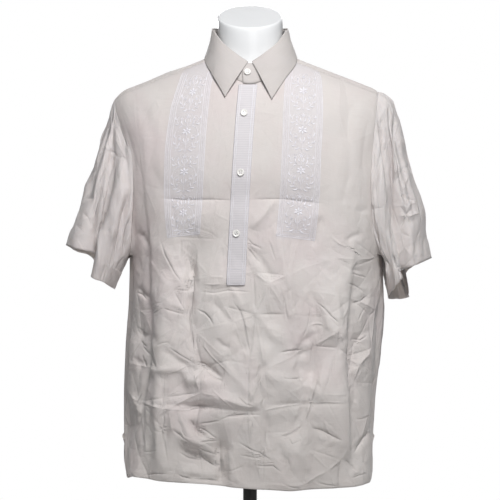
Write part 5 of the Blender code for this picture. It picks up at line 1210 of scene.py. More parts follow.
def shell(name, outer, wall, material, closed=False, inside=None, uv_across=None, uv_up=None, masks=None):
    """A thin closed wall under a grid of outer points."""
    rows, columns, _ = outer.shape
    n = facing(outer, closed, inside)
    flip = (n * normals(outer, closed)).sum() < 0
    thick = wall if np.ndim(wall) else np.full((rows, columns), wall)
    inner = outer - n * thick[..., None]
    count = rows * columns
    verts = np.concatenate([outer.reshape(-1, 3), inner.reshape(-1, 3)])
    last = columns if closed else columns - 1
    r, c = np.meshgrid(np.arange(rows - 1), np.arange(last), indexing="ij")
    r, c = r.ravel(), c.ravel()
    c2 = (c + 1) % columns
    quad = np.stack([r * columns + c, r * columns + c2, (r + 1) * columns + c2, (r + 1) * columns + c], -1)
    if flip:
        quad = quad[:, ::-1]
    across = arc(np.concatenate([outer, outer[:, :1]], 1), 1) if closed else arc(outer, 1)
    up = arc(outer, 0)
    if uv_across is None:
        across = across - across[:, across.shape[1] // 2][:, None]
    if closed:
        up = np.concatenate([up, up[:, :1]], 1)
    uv_grid = np.stack([across, up], -1)
    uv = np.stack([uv_grid[r, c], uv_grid[r, c + 1], uv_grid[r + 1, c + 1], uv_grid[r + 1, c]], 1)
    if flip:
        uv = uv[:, ::-1]
    faces, uvs = [quad, (quad + count)[:, ::-1]], [uv, uv[:, ::-1]]

    def rim(a, b, pa, pb, turn):
        edge = np.stack([a, b, b + count, a + count], -1)
        edge_uv = np.stack([pa, pb, pb, pa], 1)
        if turn:
            edge, edge_uv = edge[:, ::-1], edge_uv[:, ::-1]
        faces.append(edge)
        uvs.append(edge_uv)

    k = np.arange(last)
    k2 = (k + 1) % columns
    rim(k, k2, uv_grid[0, k], uv_grid[0, k + 1], not flip)
    base = (rows - 1) * columns
    rim(base + k, base + k2, uv_grid[-1, k], uv_grid[-1, k + 1], flip)
    if not closed:
        j = np.arange(rows - 1)
        rim(j * columns, (j + 1) * columns, uv_grid[j, 0], uv_grid[j + 1, 0], flip)
        rim(j * columns + columns - 1, (j + 1) * columns + columns - 1, uv_grid[j, -1], uv_grid[j + 1, -1], not flip)
    both = {key: np.concatenate([np.asarray(m).ravel(), np.asarray(m).ravel()]) for key, m in (masks or {}).items()}
    return mesh_object(name, verts, np.concatenate(faces), material, np.concatenate([u.reshape(-1, 2) for u in uvs]), both)


class Ribbons:
    """Many raised threads or stitches joined into one mesh."""

    def __init__(self):
        self.verts, self.faces, self.uv, self.count = [], [], [], 0

    def add(self, points, ways, widths, height, sink=0.00012, domed=True):
        """A ribbon along points with normals ways, of the given widths, raised by height."""
        points, ways = np.asarray(points, float), np.asarray(ways, float)
        widths = np.broadcast_to(np.asarray(widths, float), (len(points),))
        run = np.gradient(points, axis=0)
        run /= np.maximum(np.linalg.norm(run, axis=1, keepdims=True), 1e-12)
        side = np.cross(ways, run)
        side /= np.maximum(np.linalg.norm(side, axis=1, keepdims=True), 1e-12)
        half = widths[:, None] / 2
        full = np.minimum(1.0, widths / max(widths.max(), 1e-9) + 0.3)[:, None] * height
        profile = ((-1.0, -sink, 0.0), (-0.62, 0.0, 0.78), (0.0, 0.0, 1.0), (0.62, 0.0, 0.78), (1.0, -sink, 0.0)) if domed else (
            (-1.0, -sink, 0.0), (0.0, 0.0, 1.0), (1.0, -sink, 0.0))
        ring = np.stack([points + side * half * a + ways * (b + full * c) for a, b, c in profile], 1)
        n, m = len(points), len(profile)
        base = self.count
        self.verts.append(ring.reshape(-1, 3))
        self.count += n * m
        along = np.concatenate([[0], np.cumsum(np.linalg.norm(np.diff(points, axis=0), axis=1))])
        for i in range(n - 1):
            for j in range(m):
                j2 = (j + 1) % m
                self.faces.append((base + i * m + j, base + (i + 1) * m + j, base + (i + 1) * m + j2, base + i * m + j2))
                u0, u1, v0, v1 = along[i], along[i + 1], j * 0.0003, (j + 1) * 0.0003
                self.uv += [(u0, v0), (u1, v0), (u1, v1), (u0, v1)]
        self.faces.append(tuple(base + j for j in range(m)))
        self.faces.append(tuple(base + (n - 1) * m + j for j in range(m))[::-1])
        self.uv += [(along[0], 0.0)] * m + [(along[-1], 0.0)] * m

    def make(self, name, material):
        return mesh_object(name, np.concatenate(self.verts), self.faces, material, self.uv)


def stitches(ribbons, points, ways, pitch=0.0027, length=0.0019, width=0.00045, height=0.00022):
    """A line of stitches along a curve on the cloth."""
    points, ways = np.asarray(points, float), np.asarray(ways, float)
    run = np.concatenate([[0], np.cumsum(np.linalg.norm(np.diff(points, axis=0), axis=1))])
    count = int(run[-1] / pitch)
    for k in range(count):
        at = (k + 0.2) * pitch + np.linspace(0, length, 3)
        p = np.stack([np.interp(at, run, points[:, i]) for i in range(3)], -1)
        w = np.stack([np.interp(at, run, ways[:, i]) for i in range(3)], -1)
        w /= np.linalg.norm(w, axis=1, keepdims=True)
        ribbons.add(p, w, (width * 0.7, width, width * 0.7), height, sink=0.00015, domed=False)


def parallel(grid, ways, distance, from_top=False):
    """The curve that runs distance away from the grid's first or last row, measured along its columns."""
    g, w = (grid[::-1], ways[::-1]) if from_top else (grid, ways)
    up = arc(g, 0)
    p = np.array([[np.interp(distance, up[:, c], g[:, c, i]) for i in range(3)] for c in range(g.shape[1])])
    n = np.array([[np.interp(distance, up[:, c], w[:, c, i]) for i in range(3)] for c in range(g.shape[1])])
    return p, n / np.linalg.norm(n, axis=1, keepdims=True)


def beside(grid, ways, distance, last=False, rows=slice(None)):
    """The same beside the grid's first or last column."""
    return parallel(np.swapaxes(grid, 0, 1)[:, rows], np.swapaxes(ways, 0, 1)[:, rows], distance, from_top=last)


class Surface:
    """A grid's outer face, for finding points on it straight behind (x, z) as seen from the front."""

    def __init__(self, grid, ways):
        rows, columns, _ = grid.shape
        r, c = np.meshgrid(np.arange(rows - 1), np.arange(columns - 1), indexing="ij")
        quad = np.stack([r * columns + c, r * columns + c + 1, (r + 1) * columns + c + 1, (r + 1) * columns + c], -1).reshape(-1, 4)
        self.tree = BVHTree.FromPolygons(grid.reshape(-1, 3).tolist(), quad.tolist())
        self.sign = -1.0

    def at(self, x, z):
        x, z = np.broadcast_arrays(np.asarray(x, float), np.asarray(z, float))
        points, ways = np.zeros(x.shape + (3,)), np.zeros(x.shape + (3,))
        away = Vector((0, 1, 0))
        for k in np.ndindex(x.shape):
            hit, n, _, _ = self.tree.ray_cast(Vector((float(x[k]), -1.0, float(z[k]))), away)
            if hit is None:
                near, n, _, _ = self.tree.find_nearest(Vector((float(x[k]), -0.08, float(z[k]))))
                hit = near
            points[k] = hit
            ways[k] = n if n.y < 0 else -n
        return points, ways


# ------------------------------------------------------------------ materials
class Shade:
    """A node material that starts with one Principled BSDF."""

    def __init__(self, name, rough, metal=0.0, **fixed):
        self.mat = bpy.data.materials.new(name)
        self.mat.use_nodes = True
        self.tree = self.mat.node_tree
        self.shader = self.tree.nodes["Principled BSDF"]
        self.shader.inputs["Roughness"].default_value = rough
        self.shader.inputs["Metallic"].default_value = metal
        for key, value in fixed.items():
            self.shader.inputs[key.replace("_", " ")].default_value = value

    def node(self, kind, **settings):
        made = self.tree.nodes.new(kind)
        for key, value in settings.items():
            setattr(made, key, value)
        return made

    def link(self, a, b):
        self.tree.links.new(a, b)

    def uv(self, scale=(1, 1, 1), turn=0.0):
        source = self.node("ShaderNodeUVMap", uv_map="cloth")
        place = self.node("ShaderNodeMapping")
        place.inputs["Scale"].default_value = scale
        place.inputs["Rotation"].default_value = (0, 0, turn)
        self.link(source.outputs["UV"], place.inputs["Vector"])
        return place.outputs["Vector"]

    def space(self, scale=(1, 1, 1)):
        source = self.node("ShaderNodeTexCoord")
        place = self.node("ShaderNodeMapping")
        place.inputs["Scale"].default_value = scale
        self.link(source.outputs["Object"], place.inputs["Vector"])
        return place.outputs["Vector"]

    def noise(self, vector, scale, detail=3.0, rough=0.5):
        made = self.node("ShaderNodeTexNoise")
        made.inputs["Scale"].default_value = scale
        made.inputs["Detail"].default_value = detail
        made.inputs["Roughness"].default_value = rough
        self.link(vector, made.inputs["Vector"])
        return made.outputs["Fac"]

    def wave(self, vector, pitch, across="X"):
        made = self.node("ShaderNodeTexWave", wave_type="BANDS", bands_direction=across)
        made.inputs["Scale"].default_value = 0.31416 / pitch
        made.inputs["Distortion"].default_value = 0.0
        self.link(vector, made.inputs["Vector"])
        return made.outputs["Fac"]

    def bent(self, vector, scale, amount):
        """A vector moved about by a slow noise, so that what is drawn with it isn't straight everywhere."""
        made = self.node("ShaderNodeTexNoise")
        made.inputs["Scale"].default_value = scale
        made.inputs["Detail"].default_value = 1.0
        self.link(vector, made.inputs["Vector"])
        moved = self.node("ShaderNodeVectorMath", operation="MULTIPLY_ADD")
        self.link(made.outputs["Color"], moved.inputs[0])
        moved.inputs[1].default_value = (amount, amount, 0.0)
        self.link(vector, moved.inputs[2])
        return moved.outputs["Vector"]

    def fit(self, value, low, high, to_low, to_high):
        made = self.node("ShaderNodeMapRange")
        for key, number in (("From Min", low), ("From Max", high), ("To Min", to_low), ("To Max", to_high)):
            made.inputs[key].default_value = number
        self.link(value, made.inputs["Value"])
        return made.outputs["Result"]

    def maths(self, kind, a, b):
        made = self.node("ShaderNodeMath", operation=kind)
        for socket, value in zip(made.inputs, (a, b)):
            if isinstance(value, (int, float)):
                socket.default_value = value
            else:
                self.link(value, socket)
        return made.outputs[0]

    def blend(self, share, a, b, kind="MIX"):
        made = self.node("ShaderNodeMix", data_type="RGBA", blend_type=kind)
        for socket, value in zip((made.inputs[0], made.inputs[6], made.inputs[7]), (share, a, b)):
            if isinstance(value, (int, float)):
                socket.default_value = value
            elif isinstance(value, tuple):
                socket.default_value = (*value, 1.0) if len(value) == 3 else value
            else:
                self.link(value, socket)
        return made.outputs[2]

    def mask(self, name):
        return self.node("ShaderNodeAttribute", attribute_name=name).outputs["Fac"]

    def finish(self, colour=None, rough=None, bumps=()):
        if colour is not None:
            self.link(colour, self.shader.inputs["Base Color"])
        if rough is not None:
            self.link(rough, self.shader.inputs["Roughness"])
        last = None
        for height, distance, strength in bumps:
            made = self.node("ShaderNodeBump")
            made.inputs["Distance"].default_value = distance
            made.inputs["Strength"].default_value = strength
            self.link(height, made.inputs["Height"])
            if last is not None:
                self.link(last, made.inputs["Normal"])
            last = made.outputs["Normal"]
        if last is not None:
            self.link(last, self.shader.inputs["Normal"])
        return self.mat


CLOTH_BASE = (0.654, 0.606, 0.583)
CLOTH_PINK = (0.662, 0.584, 0.577)
CLOTH_PALE = (0.688, 0.656, 0.634)
THREAD_TINT = (0.655, 0.628, 0.655)


def cloth_material(name, tint=None, tinted=0.0, ribs=0.0, banded=False, crumple=1.0, creased=False, through=0.12):
    """Sheer plain weave with uneven threads, faint pinkish clouds and fine wrinkles."""
    s = Shade(name, 0.75, Sheen_Weight=0.18, Sheen_Roughness=0.35, Specular_IOR_Level=0.25,
              Subsurface_Weight=through, Subsurface_Radius=(1.0, 0.9, 0.82), Subsurface_Scale=0.004)
    uv = s.uv()
    weft = s.noise(s.uv((28.0, 1500.0, 1.0)), 1.0, 3.0, 0.6)
    warp = s.noise(s.uv((1700.0, 22.0, 1.0)), 1.0, 3.0, 0.6)
    broad = s.noise(s.space((1, 1, 0.7)), 7.0, 3.0, 0.55)
    patch = s.noise(s.space((1, 1, 0.8)), 17.0, 4.0, 0.6)
    colour = s.blend(s.fit(broad, 0.45, 0.64, 0.0, 0.85), CLOTH_BASE, CLOTH_PINK)
    colour = s.blend(s.fit(patch, 0.40, 0.68, 0.0, 0.45), colour, CLOTH_PALE)
    if tint:
        colour = s.blend(tinted, colour, tint)
    if banded:
        # painted light and shade from the front's mask: paler over the belly and beside the left band, darker towards
        # the hem
        colour = s.blend(1.0, colour, s.blend(s.mask("tone_with_painted_light"), (0.88, 0.88, 0.88), (1.12, 1.12, 1.12)), "MULTIPLY")
        colour = s.blend(s.maths("MULTIPLY", s.mask("band"), 0.50), colour, THREAD_TINT)
    threads = s.maths("ADD", s.maths("MULTIPLY", weft, 0.65), s.maths("MULTIPLY", warp, 0.35))
    colour = s.blend(1.0, colour, s.blend(s.fit(threads, 0.30, 0.70, 0.0, 1.0), (0.90, 0.895, 0.89), (1.0, 1.0, 1.0)), "MULTIPLY")
    across, down = s.wave(uv, 0.00062, "X"), s.wave(uv, 0.00062, "Y")
    weave = s.maths("MAXIMUM", across, down)
    wrinkle = s.noise(s.uv((1.0, 0.8, 1.0)), 75.0, 4.0, 0.55)
    bumps = [(wrinkle, 0.0009 * crumple, 0.5), (threads, 0.00022, 0.7), (weave, 0.00010, 0.6)]
    if ribs:
        bumps.append((s.wave(uv, 0.0013, "Y"), 0.00025, ribs))
        colour = s.blend(1.0, colour, s.blend(s.wave(uv, 0.0042, "Y"), (0.945, 0.945, 0.955), (1.020, 1.020, 1.025)), "MULTIPLY")
    if creased:
        fold = s.fit(s.maths("ABSOLUTE", s.mask("fold_at"), 0.0), 0.0, 0.0040, 1.0, 0.0)
        bumps.append((s.maths("MULTIPLY", s.maths("POWER", fold, 1.4), s.mask("fold_by")), 0.0013, 1.0))
        cells = s.node("ShaderNodeTexVoronoi", feature="DISTANCE_TO_EDGE", voronoi_dimensions="2D")
        cells.inputs["Scale"].default_value = 1.0
        s.link(s.bent(s.uv((30.0, 23.0, 1.0)), 2.2, 0.30), cells.inputs["Vector"])
        small = s.node("ShaderNodeTexVoronoi", feature="DISTANCE_TO_EDGE", voronoi_dimensions="2D")
        small.inputs["Scale"].default_value = 1.0
        s.link(s.bent(s.uv((62.0, 74.0, 1.0)), 1.7, 0.25), small.inputs["Vector"])
        some = s.maths("MULTIPLY", s.mask("crush"), s.fit(s.noise(s.uv((1.0, 1.0, 1.0)), 16.0, 2.0, 0.5), 0.40, 0.62, 0.15, 1.0))
        bumps.append((s.maths("MULTIPLY", cells.outputs["Distance"], some), 0.0052, 1.0))
        bumps.append((s.maths("MULTIPLY", small.outputs["Distance"], some), 0.0008, 1.0))
        near = s.fit(s.maths("ABSOLUTE", s.mask("crease_at"), 0.0), 0.0, 0.0036, 1.0, 0.0)
        bumps.append((s.maths("MULTIPLY", s.maths("POWER", near, 1.6), s.mask("crease_by")), 0.0021, 1.0))
    rough = s.fit(threads, 0.3, 0.7, 0.66, 0.84)
    return s.finish(colour, rough, bumps)


def thread_material(name, colour, shade, rough=0.42):
    """Satin thread whose strands lie across the ribbon."""
    s = Shade(name, rough, Sheen_Weight=0.25, Sheen_Roughness=0.3)
    strands = s.wave(s.uv(), 0.00045, "X")
    cloud = s.noise(s.space(), 120.0, 2.0)
    tone_with_painted_light = s.blend(s.fit(cloud, 0.35, 0.65, 0.0, 1.0), colour, shade)
    # painted shade: darker along the grooves between strands, where the bump dips
    tone_with_painted_light = s.blend(s.fit(strands, 0.0, 1.0, 0.22, 0.0), tone_with_painted_light, tuple(c * 0.72 for c in shade))
    return s.finish(tone_with_painted_light, s.fit(cloud, 0.3, 0.7, rough - 0.05, rough + 0.1), [(strands, 0.00008, 0.5)])


def gloss_material(name):
    """Glossy white shell of the form, faintly marked by handling."""
    s = Shade(name, 0.16, Coat_Weight=0.35, Coat_Roughness=0.06)
    cloud = s.noise(s.space(), 9.0, 3.0)
    fine = s.noise(s.space(), 240.0, 3.0)
    colour = s.blend(s.fit(cloud, 0.35, 0.7, 0.0, 1.0), (0.81, 0.815, 0.82), (0.775, 0.78, 0.79))
    rough = s.fit(s.maths("ADD", s.maths("MULTIPLY", cloud, 0.6), s.maths("MULTIPLY", fine, 0.4)), 0.35, 0.65, 0.12, 0.24)
    return s.finish(colour, rough, [(cloud, 0.0008, 0.35), (fine, 0.00005, 0.3)])


def metal_material(name):
    """Dark satin finish of the pole and base, scuffed a little brighter in places."""
    s = Shade(name, 0.34, 0.55, Coat_Weight=0.2, Coat_Roughness=0.2)
    cloud = s.noise(s.space((1, 1, 0.35)), 34.0, 4.0, 0.6)
    grain = s.noise(s.space((1, 1, 0.08)), 900.0, 2.0)
    colour = s.blend(s.fit(cloud, 0.45, 0.75, 0.0, 1.0), (0.022, 0.021, 0.020), (0.060, 0.058, 0.055))
    return s.finish(colour, s.fit(cloud, 0.3, 0.7, 0.26, 0.46), [(grain, 0.00006, 0.5), (cloud, 0.0003, 0.2)])


def button_material(name):
    """Pearly off-white button with faint swirls."""
    s = Shade(name, 0.24, Coat_Weight=0.5, Coat_Roughness=0.12)
    swirl = s.noise(s.space((1, 1, 2.2)), 260.0, 4.0, 0.6)
    colour = s.blend(s.fit(swirl, 0.35, 0.7, 0.0, 1.0), (0.90, 0.885, 0.86), (0.78, 0.755, 0.71))
    return s.finish(colour, s.fit(swirl, 0.3, 0.7, 0.18, 0.34), [(swirl, 0.0001, 0.4)])


BODY_CLOTH = cloth_material("body_cloth", banded=True, creased=True)
CREASED_CLOTH = cloth_material("creased_cloth", creased=True)
# painted light: the sleeves' cloth is tinted paler than the body's to make up for how dark they come out under the
# lamps
SLEEVE_CLOTH = cloth_material("sleeve_cloth", tint=(0.735, 0.668, 0.650), tinted=0.65, creased=True, through=0.45)
PLAIN_CLOTH = cloth_material("plain_cloth")
# painted shade: the collar's cloth is tinted darker than the body's to tone down how brightly the lamps light it
COLLAR_MAT = cloth_material("collar_cloth", tint=(0.535, 0.508, 0.492), tinted=0.72, crumple=0.5)
PLACKET_MAT = cloth_material("placket_cloth", tint=(0.735, 0.710, 0.735), tinted=0.75, ribs=0.9, crumple=0.6)
EMBROIDERY = thread_material("embroidery_thread", (0.84, 0.82, 0.86), (0.72, 0.695, 0.735))
SEWING = thread_material("sewing_thread", (0.66, 0.61, 0.565), (0.56, 0.515, 0.475), 0.6)
FORM_MAT = gloss_material("form_shell")
METAL_MAT = metal_material("stand_finish")
BUTTON_MAT = button_material("button_pearl")


# ------------------------------------------------------------------ body panels
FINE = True
FRONT_GRID = (184, 262) if FINE else (111, 150)
BACK_GRID = (160, 216) if FINE else (91, 120)


def body_hold(grid, columns):
    """Keeps creases away from seams: the top edge and the sides above the vents."""
    edge = np.clip(arc(grid[::-1], 0)[::-1] / 0.035, 0, 1)
    rim_at = np.minimum(np.arange(columns), np.arange(columns)[::-1]) * 26.0 / (columns - 1)
    rim = np.clip(rim_at, 0, 1)
    upper = np.clip((grid[..., 2] - VENT_TOP_Z + 0.035) / 0.035, 0, 1)
    free = np.clip(rim_at / 1.5, 0.25, 1)
    return edge * (rim[None, :] * upper + free[None, :] * (1 - upper))


def crumpled(name, grid, table, closed=False):
    """A panel's grid with its creases and crumple, all along the panel's own normals."""
    side = arc(grid, 1)
    side = side - side[:, side.shape[1] // 2][:, None]
    flat = np.stack([side, grid[..., 2]], -1)
    share = smooth([row[0] for row in CRUMPLE_BY_Z], [row[1] for row in CRUMPLE_BY_Z], grid[..., 2])
    rise = blur(layers(name, flat) * share, 0 if FINE else 1) + creases(grid[..., [0, 2]], table)
    seed, _, (spacing, height), _ = FACETS[name]
    folds = crease_lines(flat, facet_folds(flat, seed + 1, spacing, height))
    return rise, {"fold_at": folds["crease_at"], "fold_by": folds["crease_by"] * share}


front = panel("front", *FRONT_GRID, front_top, front_hem, FRONT_FOLDS)
back = panel("back", *BACK_GRID, lambda x: back_seam(float(x)) - SEAM_GAP / 2, lambda k, x, u: hem_height(k, x, u, HEM_BACK_Z), BACK_FOLDS)
front, back = part_at_sides(front, "front"), part_at_sides(back, "back")
yoke_outer = yoke(12, 56)[0]


def even_columns(grid, first, last, rows):
    """Narrow columns beside the neck put evenly between two others on the back, so that their faces don't shear."""
    for k in range(first + 1, last):
        share = (k - first) / (last - first)
        x, z = ((1 - share) * grid[rows, first, i] + share * grid[rows, last, i] for i in (0, 2))
        grid[rows, k] = on_body("back", x, z)


beside_neck = int((front[-1, :, 0] < -NECK_X - 0.008).sum()) - 1
for first in (beside_neck, beside_neck + 5 + 22):
    even_columns(yoke_outer, first, first + 5, slice(56 * 2 // 5 + 3, None))


front_lines, back_lines = crease_lines(front[..., [0, 2]], FRONT_CREASES), crease_lines(back[..., [0, 2]], BACK_CREASES)
front_rise, front_folds = crumpled("front", front, FRONT_CREASES)
front_rise = front_rise * body_hold(front, front.shape[1])
front = front + facing(front, inside=(0, 0.2, 0.6))[..., :] * front_rise[..., None]
back_rise, back_folds = crumpled("back", back, BACK_CREASES)
back_rise = back_rise * body_hold(back, back.shape[1])
back = back + facing(back, inside=(0, -0.2, 0.6)) * back_rise[..., None]



def form_tree(sections):
    rows, columns, _ = sections.shape
    quads = [(r * columns + c, r * columns + (c + 1) % columns, (r + 1) * columns + (c + 1) % columns, (r + 1) * columns + c)
             for r in range(rows - 1) for c in range(columns)]
    return BVHTree.FromPolygons(sections.reshape(-1, 3).tolist(), quads)


FORM_TREE = form_tree(form_rings(96))


def clear_of_form(grid, ways, least=0.0022):
    """Moves points out where a crease would reach into the dress form."""
    flat, way = grid.reshape(-1, 3), ways.reshape(-1, 3)
    push = np.zeros(len(flat))
    for k in range(len(flat)):
        start = Vector(flat[k] + way[k] * 0.04)
        far = FORM_TREE.ray_cast(start, Vector(-way[k]), 0.04 + least)[3]
        if far is not None:
            push[k] = least - (far - 0.04)
    push = blur(np.maximum(push, 0).reshape(grid.shape[:2]), 1) * 1.15
    return grid + ways * push[..., None]


front = clear_of_form(front, facing(front, inside=(0, 0.2, 0.6)))
back = clear_of_form(back, facing(back, inside=(0, -0.2, 0.6)))

# turned hems: the band above the edge is three layers thick
front_out, back_out = facing(front, inside=(0, 0.2, 0.6)), facing(back, inside=(0, -0.2, 0.6))
for grid, ways in ((front, front_out), (back, back_out)):
    band = np.clip((HEM_BAND - arc(grid, 0)) / 0.0012, 0, 1)
    grid += ways * (DEPTH_OF_HEM * band)[..., None]


def band_edges(band, z):
    a, b = BANDS[band]["outer"], BANDS[band]["inner"]
    outer = np.interp(z, [row[0] for row in a][::-1], [row[1] for row in a][::-1])
    inner = np.interp(z, [row[0] for row in b][::-1], [row[1] for row in b][::-1])
    return (outer, inner) if band == "left" else (inner, outer)


band_mask = np.zeros(front.shape[:2])
for band_name, band in BANDS.items():
    x_low, x_high = band_edges(band_name, front[..., 2])
    inside_band = np.clip((front[..., 0] - x_low) / 0.002 + 0.5, 0, 1) * np.clip((x_high - front[..., 0]) / 0.002 + 0.5, 0, 1)
    band_mask += inside_band * np.clip((front[..., 2] - band["bottom"]) / 0.003 + 0.5, 0, 1)

PAINTED_LIGHT_BY_Z = (
    # z, painted light and shade: 0.5 is the plain cloth, more is painted paler, less is painted darker
    (0.24, 0.00),
    (0.32, 0.16),
    (0.41, 0.64),
    (0.50, 0.82),
    (0.56, 0.92),
    (0.64, 0.78),
    (0.72, 0.58),
    (0.80, 0.50),
    (1.10, 0.50),
)


def tone_with_painted_light(grid):
    """Painted light and shade on the front, not the cloth's own colour: painted light over the belly, painted shade
    towards the hem, away from the sides, and a patch of painted light beside the left band.
    """
    x, z = grid[..., 0], grid[..., 2]
    by_z = smooth([row[0] for row in PAINTED_LIGHT_BY_Z], [row[1] for row in PAINTED_LIGHT_BY_Z], z) - 0.5
    painted_light_beside_band = 0.40 * np.exp(-((x + 0.168) / 0.022) ** 2 - ((z - 0.845) / 0.065) ** 2)
    return np.clip(0.5 + by_z * np.clip((0.195 - np.abs(x)) / 0.035, 0, 1) + painted_light_beside_band, 0, 1)


def crush(grid):
    """Share of the finest creases by height: none on the chest, all on the lower half."""
    return np.clip((0.80 - grid[..., 2]) / 0.28, 0.06, 1) * np.clip(arc(grid, 0) / 0.012, 0, 1)


made = {}
made["front"] = shell("front_panel", front, THIN, BODY_CLOTH, inside=(0, 0.2, 0.6), masks={"band": band_mask, "tone_with_painted_light": tone_with_painted_light(front), "crush": crush(front), **front_lines, **front_folds})
made["back"] = shell("back_panel", back, THIN, CREASED_CLOTH, inside=(0, -0.2, 0.6), masks={"crush": crush(back), **back_lines, **back_folds})

# ------------------------------------------------------------------ yoke
yoke_arc = arc(yoke_outer, 0)
yoke_flat = np.stack([yoke_outer[..., 0], yoke_arc], -1)
near_end = np.minimum(yoke_arc, yoke_arc[-1:] - yoke_arc)
yoke_hold = np.clip(near_end / 0.02, 0, 1) * np.clip(np.minimum(np.arange(yoke_outer.shape[1]), np.arange(yoke_outer.shape[1])[::-1]) / 5.0, 0, 1)[None, :]
yoke_rise = blur(layers("yoke", yoke_flat), 1) * yoke_hold
yoke_out = facing(yoke_outer, inside=(0, 0, 0.8))
yoke_outer = yoke_outer + yoke_out * (yoke_rise + 0.0002 * np.clip((0.006 - near_end) / 0.002, 0, 1))[..., None]
made["yoke"] = shell("shoulder_yoke", yoke_outer, THIN, PLAIN_CLOTH, inside=(0, 0, 0.8))


# ------------------------------------------------------------------ sleeves
SLEEVE_GRID = (220, 84) if FINE else (140, 56)
sleeves = {}
for name in ("sleeve_left", "sleeve_right"):
    grid = sleeve(name, *SLEEVE_GRID)
    sign = -1.0 if name == "sleeve_left" else 1.0
    out = facing(grid, True)
    grid[..., 0] -= sign * (CLOTH * np.abs(out[:1, :, 0]) * 0.55 + 0.0004)
    around = arc(np.concatenate([grid, grid[:, :1]], 1), 1)
    length = around[:, -1].mean()
    share = np.linspace(0, 1, grid.shape[1], endpoint=False)
    flat = np.stack([np.broadcast_to(share * length, grid.shape[:2]), arc(grid, 0)], -1)
    rise = blur(layers(name, flat, length), 1, True)
    ahead = np.clip((0.53 - share) / 0.03, 0, 1) * np.clip(share / 0.01 + 0.6, 0, 1)
    front_table = LEFT_SLEEVE_CREASES if name == "sleeve_left" else RIGHT_SLEEVE_CREASES
    rise += creases(grid[..., [0, 2]], front_table) * ahead[None, :]
    rise += creases(grid[..., [0, 2]], SLEEVE_BACK_CREASES[name]) * (1 - ahead)[None, :]
    lines, behind = crease_lines(grid[..., [0, 2]], front_table), crease_lines(grid[..., [0, 2]], SLEEVE_BACK_CREASES[name])
    lines = {key: np.where(ahead[None, :] > 0.5, lines[key], behind[key]) for key in lines}
    seed, _, (spacing, height), _ = FACETS[name]
    folds = crease_lines(flat, facet_folds(flat, seed + 1, spacing, height, length, SLEEVE_TALL))
    lines.update(fold_at=folds["crease_at"], fold_by=folds["crease_by"])
    down = arc(grid, 0)
    rise *= np.clip(down / 0.022, 0, 1)
    grid = grid + facing(grid, True) * rise[..., None]
    from_hem = arc(grid[::-1], 0)[::-1]
    out = facing(grid, True)
    grid = grid + out * (DEPTH_OF_HEM * np.clip((SLEEVE_BAND - from_hem) / 0.0012, 0, 1))[..., None]
    sleeves[name] = grid
    made[name] = shell(name + "_cloth", grid, THIN, SLEEVE_CLOTH, closed=True, masks={"crush": np.full(grid.shape[:2], 0.35), **lines})

# ------------------------------------------------------------------ collar
stand_grid = collar_stand(170, 16)
foot, over = (0, 1) if stand_grid[0, :, 2].mean() < stand_grid[-1, :, 2].mean() else (-1, -2)
stand_grid[foot] += (stand_grid[foot] - stand_grid[over]) * 0.6
leaf_grid = collar_leaf(170, 40)
leaf_flat = np.stack([arc(leaf_grid, 1), arc(leaf_grid, 0)], -1)
leaf_share = np.linspace(0, 1, leaf_grid.shape[0])[:, None]
leaf_rise = blur(facets(leaf_flat, 61, 0.030, 0.0022), 2) * np.clip(leaf_share * 4, 0, 1)
leaf_grid = leaf_grid + facing(leaf_grid, inside=(0, 0, 1.0)) * leaf_rise[..., None]
made["stand"] = shell("neck_stand", stand_grid, 0.0012, COLLAR_MAT, inside=(0, 0, 1.02))
made["leaf"] = shell("collar_fold_leaf", leaf_grid, 0.0012, COLLAR_MAT, inside=(0, 0, 1.0))

# ------------------------------------------------------------------ placket
on_front = Surface(front, front_out)


def placket_grid(rows, columns, lift):
    z = np.linspace(PLACKET_END_Z, PLACKET_TOP_Z, rows)[:, None]
    line = smooth([row[0] for row in PLACKET_LINE][::-1], [row[1] for row in PLACKET_LINE][::-1], z)
    across = np.linspace(-0.5, 0.5, columns)[None, :]
    x = line + across * PLACKET_WIDTH
    corner = np.clip((0.003 - (z - PLACKET_END_Z)) / 0.003, 0, 1) ** 2
    x = line + (x - line) * (1 - 0.10 * corner)
    p, n = on_front.at(x, z + 0 * x)
    for _ in range(6):
        n[1:-1] = n[:-2] + 2 * n[1:-1] + n[2:]
        n[:, 1:-1] = n[:, :-2] + 2 * n[:, 1:-1] + n[:, 2:]
        n /= np.linalg.norm(n, axis=-1, keepdims=True)
    return p + n * lift, n


strip, strip_out = placket_grid(150, 15, 0.0013)
made["placket"] = shell("placket_strip", strip, 0.0009, PLACKET_MAT, inside=(0, 0.2, 0.8))

# ------------------------------------------------------------------ embroidery
FIELD_EDGE = 0.0118       # from a band's edge to its inner field
REPEAT = 0.0715           # height of one spray


def band_place(band, x_share, down):
    """Points (x, z) of a band at a share from -1 to 1 across it and a distance below its top."""
    b = BANDS[band]
    length = b["top"] - b["bottom"]
    tilt = b["tilt"] * (1 if band == "left" else -1) * np.clip(down / length, 0, 1)
    z = b["top"] - down + tilt * x_share
    low, high = band_edges(band, z)
    return (low + high) / 2 + (high - low) / 2 * x_share, z


def curve_points(points, count):
    """A smooth curve through a few points, by Catmull-Rom."""
    p = np.array(points, float)
    p = np.vstack([2 * p[0] - p[1], p, 2 * p[-1] - p[-2]])
    t = np.linspace(0, len(p) - 3 - 1e-9, count)
    k = t.astype(int)
    f = (t - k)[:, None]
    a, b, c, d = p[k], p[k + 1], p[k + 2], p[k + 3]
    return 0.5 * ((2 * b) + (c - a) * f + (2 * a - 5 * b + 4 * c - d) * f**2 + (3 * b - a - 3 * c + d) * f**3)


def lens(count, width):
    t = np.linspace(0, 1, count)
    return np.maximum(width * np.sin(math.pi * t) ** 0.75, 0.00025)


